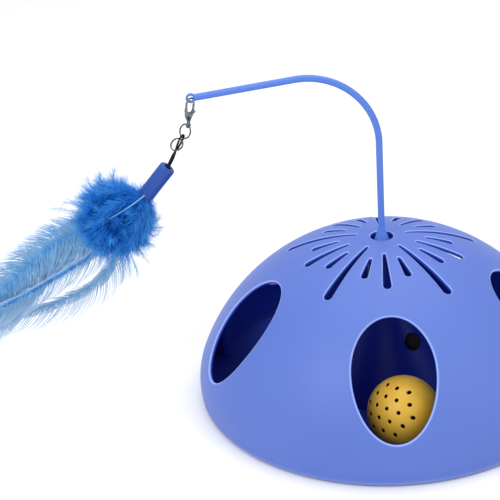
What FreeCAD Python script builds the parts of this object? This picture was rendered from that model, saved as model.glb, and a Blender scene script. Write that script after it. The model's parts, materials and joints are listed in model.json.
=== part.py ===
import FreeCAD, Part
import math
import os

import Sketcher
from FreeCAD import Placement, Rotation, Vector

# Automatic cat feather toy: a vented dome with five paw ports stands on a round tray, a ball runs
# round inside it, and a geared drive on its axis turns a bent wand that trails a feather lure.
# Millimetres, +Z up. The origin is on the dome's axis in the plane that the feet stand on. One port
# faces -Y and the wand's arm points along -X.

doc = FreeCAD.newDocument("cat_feather_toy")
sheet = doc.addObject("Spreadsheet::Sheet", "Sizes")
nodes = []


# Named sizes: a number that carries the sheet formula it came from

def formula(value):
    return value.text if isinstance(value, Size) else repr(float(value))


class Size(float):
    def __new__(cls, value, text):
        made = super().__new__(cls, value)
        made.text = text
        return made

    def __add__(self, other):
        return Size(float(self) + other, "(%s + %s)" % (self.text, formula(other)))

    def __radd__(self, other):
        return Size(other + float(self), "(%s + %s)" % (formula(other), self.text))

    def __sub__(self, other):
        return Size(float(self) - other, "(%s - %s)" % (self.text, formula(other)))

    def __rsub__(self, other):
        return Size(other - float(self), "(%s - %s)" % (formula(other), self.text))

    def __mul__(self, other):
        return Size(float(self) * other, "(%s * %s)" % (self.text, formula(other)))

    def __rmul__(self, other):
        return Size(float(self) * other, "(%s * %s)" % (formula(other), self.text))

    def __truediv__(self, other):
        return Size(float(self) / other, "(%s / %s)" % (self.text, formula(other)))

    def __neg__(self):
        return Size(-float(self), "(0 - %s)" % self.text)


def root(value):
    return Size(math.sqrt(value), "sqrt(%s)" % formula(value))


def sine(angle):
    return Size(math.sin(math.radians(angle)), "sin(%s)" % formula(angle))


def cosine(angle):
    return Size(math.cos(math.radians(angle)), "cos(%s)" % formula(angle))


def tangent(angle):
    return Size(math.tan(math.radians(angle)), "tan(%s)" % formula(angle))


def arc_cosine(value):
    return Size(math.degrees(math.acos(value)), "(acos(%s) / 1 deg)" % formula(value))


def arc_tangent(y, x):
    text = "(atan2(%s; %s) / 1 deg)" % (formula(y), formula(x))
    return Size(math.degrees(math.atan2(y, x)), text)


def size(name, value):
    row = len(listed) + 1
    listed.append(name)
    sheet.set("A%d" % row, name)
    sheet.set("B%d" % row, str(value))
    sheet.setAlias("B%d" % row, name)
    return Size(value, "Sizes." + name)


listed = []
zero = Size(0.0, "0")

# Clearances
touch = size("seat_gap", 0.3)
running = size("running_fit", 0.06)
snug = size("snug_fit", 0.03)

# Dome shell: three tangent arcs turned round the axis
dome_radius = size("dome_radius", 115.0)
dome_height = size("dome_height", 97.8)
shoulder_radius = size("shoulder_radius", 38.95)
girth_height = size("girth_height", 7.6)
low_radius = size("lower_arc_radius", 36.0)
dome_wall = size("dome_wall", 2.5)
top_hole = size("top_hole_radius", 6.85)
rim_lift = size("rim_lift", 1.2)

# Paw ports: two half ellipses on a tilted plane
port_count = size("port_count", 5)
port_tilt = size("port_tilt", 36.1)
port_inset = size("port_inset", 23.0)
port_height = size("port_height", 54.2)
port_half = size("port_half_width", 23.3)
port_upper = size("port_upper_reach", 32.0)
port_lower = size("port_lower_reach", 38.4)
port_middle = size("port_middle", 3.2)

# Crown slots: inner end, outer end, inner and outer half width
slot_medium = [size("medium_slot_start", 20.6), size("medium_slot_end", 48.4),
               size("medium_slot_narrow", 0.8), size("medium_slot_wide", 2.2)]
slot_short = [size("short_slot_start", 25.6), size("short_slot_end", 41.7),
              size("short_slot_narrow", 0.9), size("short_slot_wide", 1.85)]
slot_long = [size("long_slot_start", 15.1), size("long_slot_end", 59.2),
             size("long_slot_narrow", 0.8), size("long_slot_wide", 2.5)]

# Tray, its screw pads, feet and screws
tray_gap = size("tray_gap", 0.33)
tray_thickness = size("tray_thickness", 1.8)
lip_height = size("tray_lip_height", 1.4)
lip_width = size("tray_lip_width", 1.6)
pad_height = size("screw_pad_height", 1.5)
pad_radius = size("screw_pad_radius", 4.0)
head_radius = size("screw_head_radius", 2.8)
head_depth = size("screw_head_depth", 1.7)
shank_radius = size("screw_shank_radius", 1.3)
shank_length = size("screw_shank_length", 8.5)
shank_play = size("screw_shank_play", 0.24)
head_play = size("screw_head_play", 0.18)
foot_radius = size("foot_radius", 6.0)
foot_inset = size("foot_inset", 20.0)
foot_recess = size("foot_recess", 0.6)

# Bosses under the dome wall and inside the hub
boss_inset = size("dome_boss_inset", 9.5)
boss_radius = size("boss_radius", 3.4)
boss_rise = size("dome_boss_rise", 18.0)
boss_web = size("boss_web_angle", 1.1)
hub_ring = size("hub_boss_ring", 32.5)
hub_rise = size("hub_boss_rise", 10.0)
slim_boss = size("hub_boss_radius", 3.0)
pilot_floor = size("pilot_floor", 1.0)

# Hub that covers the drive: a cone with a neck
cone_radius = size("cone_base_radius", 43.0)
cone_angle = size("cone_half_angle", 30.0)
hub_wall = size("hub_wall", 2.2)
neck_radius = size("neck_radius", 9.0)
neck_bore = size("neck_bore_radius", 7.0)
neck_step = size("neck_step_radius", 6.2)
bush_drop = size("bush_drop", 9.0)
bush_length = size("bush_length", 6.0)

# Button in the hub's flank
button_azimuth = size("button_azimuth", -48.5)
button_height = size("button_height", 35.9)
button_radius = size("button_radius", 5.2)
button_gap = size("button_gap", 0.3)
button_stand = size("button_stand", 1.7)
button_travel = size("button_travel", 0.8)
collar_wall = size("collar_wall", 1.7)
collar_depth = size("collar_depth", 3.4)
collar_cover = size("collar_cover", 1.2)
flange_radius = size("button_flange_radius", 6.5)
flange_thickness = size("button_flange_thickness", 1.0)
stem_radius = size("button_stem_radius", 2.0)
stem_length = size("button_stem_length", 0.7)
plunger_radius = size("plunger_radius", 1.7)
plunger_length = size("plunger_length", 2.5)
plunger_stand = size("plunger_stand", 1.6)
switch_side = size("switch_side", 6.0)
switch_height = size("switch_height", 3.5)
board_length = size("board_length", 20.8)
board_width = size("board_width", 8.0)
board_thickness = size("board_thickness", 1.0)
post_radius = size("post_radius", 1.6)
pin_radius = size("stake_radius", 0.7)
stake_rise = size("stake_rise", 0.4)
post_sink = size("post_sink", 2.4)
board_margin = size("board_margin", 0.2)

# Battery box, cells, contacts and door
cell_radius = size("cell_radius", 5.25)
cell_length = size("cell_length", 44.5)
cell_pitch = size("cell_pitch", 10.7)
nub_radius = size("cell_nub_radius", 1.9)
nub_length = size("cell_nub_length", 0.8)
cell_play = size("cell_play", 0.35)
cell_headroom = size("cell_headroom", 0.5)
box_wall = size("box_wall", 1.6)
box_roof = size("box_roof", 2.0)
box_side_gap = size("box_side_gap", 0.15)
contact_thickness = size("contact_thickness", 0.4)
contact_room = size("contact_room", 1.45)
contact_side = size("contact_side", 9.0)
door_gap = size("door_gap", 0.2)
door_thickness = size("door_thickness", 1.6)
door_tongue = size("door_tongue_width", 8.4)
door_lap = size("door_lap", 0.1)
tongue_margin = size("door_tongue_margin", 3.0)
door_screw_reach = size("door_screw_reach", 2.7)
door_shank = size("door_screw_shank_radius", 1.1)
door_head = size("door_screw_head_radius", 2.4)
door_head_depth = size("door_screw_head_depth", 0.9)
door_sink_depth = size("door_sink_depth", 1.0)
lug_reach = size("box_lug_reach", 4.0)
lug_neck = size("lug_neck_half_width", 2.0)

# Gear train
gear_module = size("gear_module", 0.6)
pressure_angle = size("pressure_angle", 25.0)
backlash = size("gear_backlash", 0.12)
pinion_teeth = size("pinion_teeth", 8)
first_teeth = size("first_gear_teeth", 26)
second_teeth = size("second_gear_teeth", 28)
small_teeth = size("small_gear_teeth", 9)
output_teeth = size("output_gear_teeth", 32)
gear_width = size("gear_width", 2.2)
gear_space = size("gear_space", 0.4)
gear_lift = size("gear_lift", 0.7)
gear_boss = size("gear_boss_radius", 1.6)
seat_radius = size("gear_seat_radius", 2.0)
motor_reach = size("motor_reach", 8.5)
first_bearing = size("first_gear_bearing", 158.7)
axle_radius = size("axle_radius", 1.0)
cover_radius = size("cover_radius", 24.0)
cover_thickness = size("cover_thickness", 1.6)
cover_post = size("cover_post_radius", 2.5)
motor_width = size("motor_width", 12.0)
motor_depth = size("motor_depth", 10.0)
motor_length = size("motor_length", 15.0)
motor_shaft_radius = size("motor_shaft_radius", 0.75)
drive_radius = size("drive_shaft_radius", 2.5)
drive_boss = size("drive_boss_wall", 1.2)
socket_radius = size("socket_radius", 4.5)
socket_length = size("socket_length", 19.0)
plug_side = size("plug_side", 5.0)
plug_length = size("plug_length", 14.5)

# Wand
rod_radius = size("rod_radius", 2.0)
bend_radius = size("bend_radius", 41.2)
arm_droop = size("arm_droop", 7.3)
corner_height = size("corner_height", 204.4)
arm_length = size("arm_length", 106.5)
trumpet_radius = size("trumpet_radius", 4.5)
trumpet_length = size("trumpet_length", 10.5)
collar_radius = size("wand_flange_radius", 5.2)
collar_sink = size("wand_flange_sink", 6.0)
collar_thick = size("wand_flange_thickness", 1.5)
eye_radius = size("eye_radius", 2.9)
eye_hole = size("eye_hole_radius", 1.6)
eye_thickness = size("eye_thickness", 2.0)

# Clasp, rings and cord
clasp_bearing = size("clasp_bearing", 50.0)
clasp_tilt = size("clasp_tilt", 9.7)
clasp_length = size("clasp_length", 16.5)
hook_wire = size("hook_wire_radius", 0.5)
hook_half = size("hook_half_width", 3.0)
tail_radius = size("tail_ring_radius", 1.7)
tail_hole = size("tail_hole_radius", 0.95)
clasp_thickness = size("clasp_thickness", 2.2)
ring_wire = size("ring_wire_radius", 0.45)
jump_radius = size("jump_ring_radius", 4.1)
jump_tilt = size("jump_ring_tilt", 30.5)
second_ring = size("split_ring_radius", 3.8)
cord_radius = size("cord_radius", 0.65)
cord_tilt = size("cord_tilt", 28.5)
cord_reach = size("cord_reach", 20.3)

# Lure
ferrule_radius = size("ferrule_radius", 4.6)
ferrule_length = size("ferrule_length", 23.0)
ferrule_wall = size("ferrule_wall", 0.6)
ferrule_hole = size("ferrule_hole_radius", 2.3)
lure_tilt = size("lure_tilt", 40.8)
quill_radius = size("quill_radius", 0.55)
vane_thickness = size("vane_thickness", 0.8)
puff_radius = size("puff_radius", 25.0)
puff_length = size("puff_length", 56.0)

# Ball
ball_radius = size("ball_radius", 21.0)
ball_wall = size("ball_wall", 1.6)
ball_inset = size("ball_inset", 37.8)
ball_bearing = size("ball_bearing", -85.7)
ball_pole_turn = size("ball_pole_turn", -127.4)
ball_pole_lean = size("ball_pole_lean", 55.9)
ball_pole_spin = size("ball_pole_spin", 88.8)
ball_hole = size("ball_hole_radius", 1.0)
ball_pitch = size("ball_hole_pitch", 7.12)
doc.recompute()


# Helpers for the document's objects

def bind(thing, name, value):
    if isinstance(value, Size):
        thing.setExpression(name, value.text)
    else:
        setattr(thing, name, value)


def vector_text(x, y, z):
    return "vector(%s; %s; %s)" % (formula(x), formula(y), formula(z))


def turn_text(turns):
    if not turns:
        return "rotation(vector(0; 0; 1); 0)"
    axes = {"x": "1; 0; 0", "y": "0; 1; 0", "z": "0; 0; 1"}
    return " * ".join("rotation(vector(%s); %s)" % (axes[a], formula(v)) for a, v in turns)


def place(thing, at=(0, 0, 0), turns=(), name="Placement"):
    thing.setExpression(name, "placement(%s; %s)" % (vector_text(*at), turn_text(turns)))


def body(label, at=None, turns=()):
    made = doc.addObject("PartDesign::Body", label)
    made.Label = label
    made.AllowCompound = True
    if at or turns:
        place(made, at or (0, 0, 0), turns)
    nodes.append(made)
    return made


def plane(owner, role):
    return [part for part in owner.Origin.OriginFeatures if part.Role == role][0]


def sketch(owner, name, role="XY_Plane", at=(0, 0, 0), turns=()):
    drawn = owner.newObject("Sketcher::SketchObject", name)
    drawn.AttachmentSupport = [(plane(owner, role), "")]
    drawn.MapMode = "FlatFace"
    if any(at) or turns:
        place(drawn, at, turns, "AttachmentOffset")
    return drawn


def fix(drawn, kind, *where):
    value = where[-1]
    index = drawn.addConstraint(Sketcher.Constraint(kind, *where[:-1], float(value)))
    if isinstance(value, Size) and value.text != "0":
        drawn.setExpression("Constraints[%d]" % index, value.text)


def circle(drawn, x, y, radius):
    edge = drawn.addGeometry(Part.Circle(Vector(x, y, 0), Vector(0, 0, 1), float(radius)), False)
    fix(drawn, "DistanceX", edge, 3, x)
    fix(drawn, "DistanceY", edge, 3, y)
    fix(drawn, "Radius", edge, radius)
    return edge


def arc_between(start, end, radius, side):
    # the short arc from start to end, its centre to the left of that way for side 1
    middle = Vector((start[0] + end[0]) / 2, (start[1] + end[1]) / 2, 0)
    chord = Vector(end[0] - start[0], end[1] - start[1], 0)
    rise = math.sqrt(max(float(radius) ** 2 - (chord.Length / 2) ** 2, 0.0))
    centre = middle + Vector(-chord.y, chord.x, 0).normalize() * rise * side
    first, last = (start, end) if side > 0 else (end, start)
    angles = [math.atan2(p[1] - centre.y, p[0] - centre.x) for p in (first, last)]
    if angles[1] < angles[0]:
        angles[1] += 2 * math.pi
    turned = Part.Circle(centre, Vector(0, 0, 1), float(radius))
    return Part.ArcOfCircle(turned, angles[0], angles[1])


def outline(drawn, corners, arcs=None, closed=True):
    # straight edges between the corners; arcs maps an edge's number to its radius and side
    arcs = arcs or {}
    count = len(corners)
    edges = []
    for i in range(count if closed else count - 1):
        start, end = corners[i], corners[(i + 1) % count]
        if i in arcs:
            radius, side = arcs[i]
            edge = drawn.addGeometry(arc_between(start, end, radius, side), False)
            edges.append((edge, 1, 2) if side > 0 else (edge, 2, 1))
        else:
            line = Part.LineSegment(Vector(start[0], start[1], 0), Vector(end[0], end[1], 0))
            edges.append((drawn.addGeometry(line, False), 1, 2))
    for i, (edge, start, end) in enumerate(edges):
        fix(drawn, "DistanceX", edge, start, corners[i][0])
        fix(drawn, "DistanceY", edge, start, corners[i][1])
        if closed or i + 1 < len(edges):
            following = edges[(i + 1) % len(edges)]
            drawn.addConstraint(Sketcher.Constraint("Coincident", edge, end, following[0], following[1]))
        else:
            fix(drawn, "DistanceX", edge, end, corners[i + 1][0])
            fix(drawn, "DistanceY", edge, end, corners[i + 1][1])
        if i in arcs:
            fix(drawn, "Radius", edge, arcs[i][0])


def rectangle(drawn, x0, x1, y0, y1):
    outline(drawn, [(x0, y0), (x1, y0), (x1, y1), (x0, y1)])


def feature(owner, kind, name, drawn):
    made = owner.newObject("PartDesign::" + kind, name)
    made.Profile = drawn
    owner.Tip = made
    return made


def pad(owner, drawn, length, name, both=False, down=False):
    made = feature(owner, "Pad", name, drawn)
    bind(made, "Length", length)
    made.Midplane = both
    made.Reversed = down
    return made


def pocket(owner, drawn, length, name, both=False, up=False):
    made = feature(owner, "Pocket", name, drawn)
    bind(made, "Length", length)
    made.Midplane = both
    made.Reversed = up
    return made


def turned(owner, drawn, name, angle=None, cut=False):
    made = feature(owner, "Groove" if cut else "Revolution", name, drawn)
    made.ReferenceAxis = (drawn, ["V_Axis"])
    made.Midplane = angle is not None
    bind(made, "Angle", 360.0 if angle is None else angle)
    return made


def around(owner, repeated, count, name):
    made = owner.newObject("PartDesign::PolarPattern", name)
    made.Originals = repeated
    made.Axis = (plane(owner, "Z_Axis"), [""])
    made.Angle = 360.0
    bind(made, "Occurrences", count)
    owner.Tip = made
    return made


def on_ring(radius, bearing):
    return radius * cosine(bearing), radius * sine(bearing)


def primitive(kind, name, at=(0, 0, 0), turns=(), **sizes):
    made = doc.addObject("Part::" + kind, name)
    for key, value in sizes.items():
        bind(made, key, value)
    place(made, at, turns)
    return made


def joined(label, pieces, node=True):
    made = doc.addObject("Part::MultiFuse", label)
    made.Shapes = pieces
    made.Label = label
    if node:
        nodes.append(made)
    return made


def cut(label, base, tool, node=True):
    made = doc.addObject("Part::Cut", label)
    made.Base = base
    made.Tool = tool
    made.Label = label
    if node:
        nodes.append(made)
    return made


def shaped(label, shape, at=(0, 0, 0), turn=None):
    made = doc.addObject("Part::Feature", label)
    made.Label = label
    made.Shape = shape
    made.Placement = Placement(Vector(*at), turn or Rotation())
    nodes.append(made)
    return made


# Places that several pieces share

tray_top = rim_lift + tray_thickness
pad_top = tray_top + pad_height
boss_step = 360.0 / port_count
boss_start = boss_step / 2.0
hub_bearings = [45.0, 135.0, 225.0, 315.0]
port_reach = dome_radius - port_inset
boss_ring = dome_radius - boss_inset
foot_ring = dome_radius - foot_inset
ball_orbit = dome_radius - ball_inset
collar_height = rim_lift + dome_height - collar_sink
bush_height = collar_height - bush_drop

shoulder_centre = dome_radius - shoulder_radius
crown_rise = dome_height - girth_height
crown_radius = (shoulder_centre * shoulder_centre + crown_rise * crown_rise
                - shoulder_radius * shoulder_radius) / ((crown_rise - shoulder_radius) * 2.0)
crown_centre = dome_height - crown_radius
low_centre = dome_radius - low_radius
centre_rise = girth_height - crown_centre
centre_gap = root(shoulder_centre * shoulder_centre + centre_rise * centre_rise)


def dome_points(inset):
    # crown edge at the top hole, crown and shoulder tangent point, girth, rim
    crown = crown_radius - inset
    shoulder = shoulder_radius - inset
    low = low_radius - inset
    top = (top_hole, crown_centre + root(crown * crown - top_hole * top_hole))
    meet = (shoulder_centre + shoulder * shoulder_centre / centre_gap,
            girth_height + shoulder * centre_rise / centre_gap)
    girth = (dome_radius - inset, girth_height)
    rim = (low_centre + root(low * low - girth_height * girth_height), zero)
    return [top, meet, girth, rim], [crown, shoulder, low]


rim_inside = dome_points(dome_wall)[0][3][0]
tray_radius = rim_inside - tray_gap


# Dome shell

def half_ellipse(drawn, half, middle, reach, side):
    # the half of an ellipse that reaches along +Y for side 1, with its axes tied to the sizes
    if reach >= half:
        whole = Part.Ellipse(Vector(0, middle + side * reach, 0), Vector(-side * half, middle, 0),
                             Vector(0, middle, 0))
    else:
        whole = Part.Ellipse(Vector(side * half, middle, 0), Vector(0, middle + side * reach, 0),
                             Vector(0, middle, 0))
    ends = [whole.parameter(Vector(way * side * half, middle, 0)) for way in (1, -1)]
    if ends[1] < ends[0]:
        ends[1] += 2 * math.pi
    arc = drawn.addGeometry(Part.ArcOfEllipse(whole, ends[0], ends[1]), False)
    major = len(drawn.Geometry)
    drawn.exposeInternalGeometry(arc)
    far = middle + reach if side > 0 else middle - reach
    across = -half if side > 0 else half
    drawn.addConstraint(Sketcher.Constraint("PointOnObject", arc, 3, -2))
    fix(drawn, "DistanceY", arc, 3, middle)
    if reach >= half:
        drawn.addConstraint(Sketcher.Constraint("PointOnObject", major, 1, -2))
        fix(drawn, "DistanceY", major, 1, far)
        fix(drawn, "DistanceX", major + 1, 1, across)
    else:
        fix(drawn, "DistanceX", major, 1, -across)
        fix(drawn, "DistanceY", major + 1, 1, far)
    fix(drawn, "DistanceY", arc, 1, middle)
    fix(drawn, "DistanceY", arc, 2, middle)


def tapered_slot(drawn, start, end, narrow, wide):
    # rounded slot along -Y between two end radii, its sides tangent to both
    near = start + narrow
    far = end - wide
    lean = math.asin((wide - narrow) / (far - near))
    ends = []
    for reach, radius, first in ((near, narrow, lean), (far, wide, math.pi + lean)):
        turned_round = Part.Circle(Vector(0, -reach, 0), Vector(0, 0, 1), float(radius))
        span = math.pi - 2 * lean if first == lean else math.pi + 2 * lean
        begin = lean if first == lean else math.pi - lean
        ends.append(drawn.addGeometry(Part.ArcOfCircle(turned_round, begin, begin + span), False))
    points = [[drawn.getPoint(edge, n) for n in (1, 2)] for edge in ends]
    left = drawn.addGeometry(Part.LineSegment(points[0][1], points[1][0]), False)
    right = drawn.addGeometry(Part.LineSegment(points[1][1], points[0][0]), False)
    round_way = (ends[0], left, ends[1], right)
    for index, edge in enumerate(round_way):
        drawn.addConstraint(Sketcher.Constraint("Tangent", edge, 2, round_way[(index + 1) % 4], 1))
    for edge, reach, radius in ((ends[0], near, narrow), (ends[1], far, wide)):
        fix(drawn, "DistanceX", edge, 3, zero)
        fix(drawn, "DistanceY", edge, 3, -reach)
        fix(drawn, "Radius", edge, radius)


dome = body("dome_shell", (0, 0, rim_lift))
profile = sketch(dome, "dome_profile", "XZ_Plane")
outside, outside_radii = dome_points(zero)
inside, inside_radii = dome_points(dome_wall)
outline(profile, outside[::-1] + inside,
        {0: (outside_radii[2], 1), 1: (outside_radii[1], 1), 2: (outside_radii[0], 1),
         4: (inside_radii[0], -1), 5: (inside_radii[1], -1), 6: (inside_radii[2], -1)})
turned(dome, profile, "dome_turned")
boss_foot = pad_top - rim_lift
web = sketch(dome, "boss_web_profile", "XZ_Plane", (0, 0, 0), [("y", boss_start - 90.0)])
web_arc = shoulder_radius - dome_wall / 2.0
web_low = girth_height - boss_foot
web_high = boss_foot + boss_rise - girth_height
outline(web, [(boss_ring, boss_foot),
              (shoulder_centre + root(web_arc * web_arc - web_low * web_low), boss_foot),
              (shoulder_centre + root(web_arc * web_arc - web_high * web_high), boss_foot + boss_rise),
              (boss_ring, boss_foot + boss_rise)], {1: (web_arc, 1)})
web_turned = turned(dome, web, "boss_web", boss_web)
boss_x, boss_y = on_ring(boss_ring, boss_start - 90.0)
boss = sketch(dome, "boss_outline", at=(0, 0, boss_foot))
circle(boss, boss_x, boss_y, boss_radius)
boss_padded = pad(dome, boss, boss_rise, "boss")
boss_pilot = sketch(dome, "boss_pilot_outline", at=(0, 0, boss_foot))
circle(boss_pilot, boss_x, boss_y, shank_radius + snug)
boss_bored = pocket(dome, boss_pilot, shank_length + touch, "boss_pilot", up=True)
around(dome, [web_turned, boss_padded, boss_bored], port_count, "bosses")
port = sketch(dome, "port_outline", "XZ_Plane", (0, port_height, port_reach), [("x", -port_tilt)])
for reach, side in ((port_upper, 1), (port_lower, -1)):
    half_ellipse(port, port_half, port_middle, reach, side)
port_depth = dome_radius / 2.0
port_cut = pocket(dome, port, port_depth, "port", both=True)
around(dome, [port_cut], port_count, "ports")
for name, ends, bearing, count in (("medium_slot", slot_medium, 0.0, port_count),
                                   ("long_slot", slot_long, boss_start, port_count),
                                   ("short_slot", slot_short, boss_start / 2.0, port_count * 2.0)):
    drawn = sketch(dome, name + "_outline", at=(0, 0, dome_height), turns=[("z", bearing)])
    tapered_slot(drawn, *ends)
    opening = pocket(dome, drawn, dome_height / 3.0, name)
    around(dome, [opening], count, name + "s")


# Base tray: a disc with a locating lip, screw pads, the battery opening and recesses for the feet

box_half_x = cell_pitch + cell_radius + box_side_gap
box_half_y = cell_length / 2.0 + contact_room + contact_thickness
box_out_x = box_half_x + box_wall
box_out_y = box_half_y + box_wall
door_half_x = box_half_x + door_lap
door_half_y = box_half_y + door_lap
door_screw_y = box_out_y + door_screw_reach
tongue_end = door_screw_y + tongue_margin
lug_x = box_out_x + lug_reach
screw_places = [on_ring(boss_ring, boss_start - 90.0 + boss_step * i) for i in range(int(port_count))]
screw_places += [on_ring(hub_ring, bearing) for bearing in hub_bearings]
screw_places += [(lug_x, zero), (-lug_x, zero)]
foot_places = [on_ring(foot_ring, boss_step * i - 90.0) for i in range(int(port_count))]

tray = body("base_tray")
section = sketch(tray, "tray_profile", "XZ_Plane")
outline(section, [(zero, rim_lift), (tray_radius, rim_lift), (tray_radius, tray_top + lip_height),
                  (tray_radius - lip_width, tray_top + lip_height), (tray_radius - lip_width, tray_top),
                  (zero, tray_top)])
turned(tray, section, "tray_disc")
pads = sketch(tray, "screw_pads_outline", at=(0, 0, tray_top))
for x, y in screw_places:
    circle(pads, x, y, pad_radius)
pad(tray, pads, pad_height, "screw_pads")
holes = sketch(tray, "screw_holes_outline", at=(0, 0, rim_lift))
for x, y in screw_places:
    circle(holes, x, y, shank_radius + shank_play)
pocket(tray, holes, tray_thickness + pad_height, "screw_holes", up=True)
sinks = sketch(tray, "screw_sinks_outline", at=(0, 0, rim_lift))
for x, y in screw_places:
    circle(sinks, x, y, head_radius + head_play)
pocket(tray, sinks, head_depth + touch, "screw_sinks", up=True)
foot_seats = sketch(tray, "foot_seats_outline", at=(0, 0, rim_lift))
for x, y in foot_places:
    circle(foot_seats, x, y, foot_radius + snug)
pocket(tray, foot_seats, foot_recess, "foot_seats", up=True)
hatch = sketch(tray, "battery_opening_outline", at=(0, 0, rim_lift))
hatch_x = door_half_x + door_gap
hatch_y = door_half_y + door_gap
tongue_x = door_tongue / 2.0 + door_gap
outline(hatch, [(-hatch_x, -hatch_y), (hatch_x, -hatch_y), (hatch_x, hatch_y), (tongue_x, hatch_y),
                (tongue_x, tongue_end + door_gap), (-tongue_x, tongue_end + door_gap),
                (-tongue_x, hatch_y), (-hatch_x, hatch_y)])
pocket(tray, hatch, tray_thickness, "battery_opening", up=True)
tab_reach = size("door_tab_reach", 1.6)
tab_half = size("door_tab_half_width", 2.5)
tab_place = size("door_tab_place", 9.0)
tab_thickness = size("door_tab_thickness", 0.6)
tab_root = size("door_tab_root", 1.0)
tab_seats = sketch(tray, "tab_seats_outline", at=(0, 0, tray_top))
for side in (-1, 1):
    middle = tab_place * side
    rectangle(tab_seats, middle - tab_half - door_gap, middle + tab_half + door_gap,
              -hatch_y - tab_reach - door_gap, -hatch_y + tab_root)
pocket(tray, tab_seats, tab_thickness + touch, "tab_seats")

feet = body("rubber_feet")
soles = sketch(feet, "feet_outline")
for x, y in foot_places:
    circle(soles, x, y, foot_radius)
pad(feet, soles, rim_lift + foot_recess, "feet")

screws = body("tray_screws")
heads = sketch(screws, "screw_heads_outline", at=(0, 0, rim_lift + touch))
for x, y in screw_places:
    circle(heads, x, y, head_radius)
pad(screws, heads, head_depth, "screw_heads")
shanks = sketch(screws, "screw_shanks_outline", at=(0, 0, rim_lift + touch + head_depth))
for x, y in screw_places:
    circle(shanks, x, y, shank_radius)
pad(screws, shanks, shank_length, "screw_shanks")


# Drive housing: the cone and neck over the works, with its bosses and the button's collar and posts

slope = tangent(cone_angle)
cone_side = hub_wall / cosine(cone_angle)
cone_top = tray_top + (cone_radius - neck_radius) / slope
inner_top = tray_top + (cone_radius - cone_side - neck_step) / slope
crown_under = rim_lift + crown_centre + root((crown_radius - dome_wall) * (crown_radius - dome_wall)
                                              - neck_radius * neck_radius)
neck_top = crown_under - touch
button_lean = 90.0 - cone_angle
button_reach = cone_radius - (button_height - tray_top) * slope


def along_button(depth):
    # the point that lies depth outside the hub's face on the button's axis
    out = button_reach + depth * cosine(cone_angle)
    return (out * cosine(button_azimuth), out * sine(button_azimuth),
            button_height + depth * sine(cone_angle))


button_turns = [("z", button_azimuth), ("y", button_lean)]
flange_top = -(collar_depth + touch)
stem_end = flange_top - flange_thickness - stem_length
switch_top = stem_end - plunger_stand
board_top = switch_top - switch_height
board_bottom = board_top - board_thickness
post_place = board_length / 2.0 - post_radius - board_margin

hub = body("drive_housing")
section = sketch(hub, "hub_profile", "XZ_Plane")
outline(section, [(cone_radius, tray_top), (neck_radius, cone_top), (neck_radius, neck_top),
                  (neck_bore, neck_top), (neck_bore, bush_height), (neck_step, bush_height),
                  (neck_step, inner_top), (cone_radius - cone_side, tray_top)])
turned(hub, section, "hub_turned")
bosses = sketch(hub, "hub_bosses_outline", at=(0, 0, pad_top))
for bearing in hub_bearings:
    x, y = on_ring(hub_ring, bearing)
    circle(bosses, x, y, slim_boss)
pad(hub, bosses, hub_rise, "hub_bosses")
pilots = sketch(hub, "hub_pilots_outline", at=(0, 0, pad_top))
for bearing in hub_bearings:
    x, y = on_ring(hub_ring, bearing)
    circle(pilots, x, y, shank_radius + snug)
pocket(hub, pilots, shank_length + touch, "hub_pilots", up=True)
collar = sketch(hub, "button_collar_outline", at=along_button(-collar_depth), turns=button_turns)
collar_bore = button_radius + button_gap
circle(collar, 0, 0, collar_bore + collar_wall)
pad(hub, collar, collar_depth - collar_cover, "button_collar")
opening = sketch(hub, "button_hole_outline", at=along_button(zero), turns=button_turns)
circle(opening, 0, 0, collar_bore)
pocket(hub, opening, collar_depth * 3.0, "button_hole", both=True)
posts = sketch(hub, "board_posts_outline", at=along_button(board_top), turns=button_turns)
stakes = sketch(hub, "board_stakes_outline", at=along_button(board_bottom - stake_rise), turns=button_turns)
for side in (-1, 1):
    circle(posts, 0, post_place * side, post_radius)
    circle(stakes, 0, post_place * side, pin_radius)
pad(hub, posts, -board_top - post_sink, "board_posts")
pad(hub, stakes, board_thickness + stake_rise * 2.0, "board_stakes")

button = body("power_button", along_button(zero), button_turns)
section = sketch(button, "button_profile", "XZ_Plane")
button_crown = size("button_crown_rise", 0.9)
crown_edge = button_stand - button_crown
crown_curve = (button_radius * button_radius + button_crown * button_crown) / (button_crown * 2.0)
outline(section, [(zero, stem_end), (stem_radius, stem_end), (stem_radius, flange_top - flange_thickness),
                  (flange_radius, flange_top - flange_thickness), (flange_radius, flange_top),
                  (button_radius, flange_top), (button_radius, crown_edge), (zero, button_stand)],
        {6: (crown_curve, 1)})
turned(button, section, "button_turned")

plunger = body("switch_plunger", along_button(zero), button_turns)
rod = sketch(plunger, "plunger_outline", at=(0, 0, stem_end))
circle(rod, 0, 0, plunger_radius)
pad(plunger, rod, plunger_length, "plunger", down=True)

switch = body("switch_body", along_button(zero), button_turns)
base = sketch(switch, "switch_outline", at=(0, 0, board_top))
rectangle(base, -switch_side / 2.0, switch_side / 2.0, -switch_side / 2.0, switch_side / 2.0)
pad(switch, base, switch_height, "switch_block")
bore = sketch(switch, "switch_bore_outline", at=(0, 0, switch_top))
circle(bore, 0, 0, plunger_radius + running)
pocket(switch, bore, plunger_length - plunger_stand + button_travel + touch, "switch_bore")

board = body("circuit_board", along_button(zero), button_turns)
base = sketch(board, "board_outline", at=(0, 0, board_top))
rectangle(base, -board_width / 2.0, board_width / 2.0, -board_length / 2.0, board_length / 2.0)
pad(board, base, board_thickness, "board_plate", down=True)
holes = sketch(board, "board_holes_outline", at=(0, 0, board_top))
for side in (-1, 1):
    circle(holes, 0, post_place * side, pin_radius + running)
pocket(board, holes, board_thickness, "board_holes")


# Battery box, which is also the gearbox's lower plate

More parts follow.
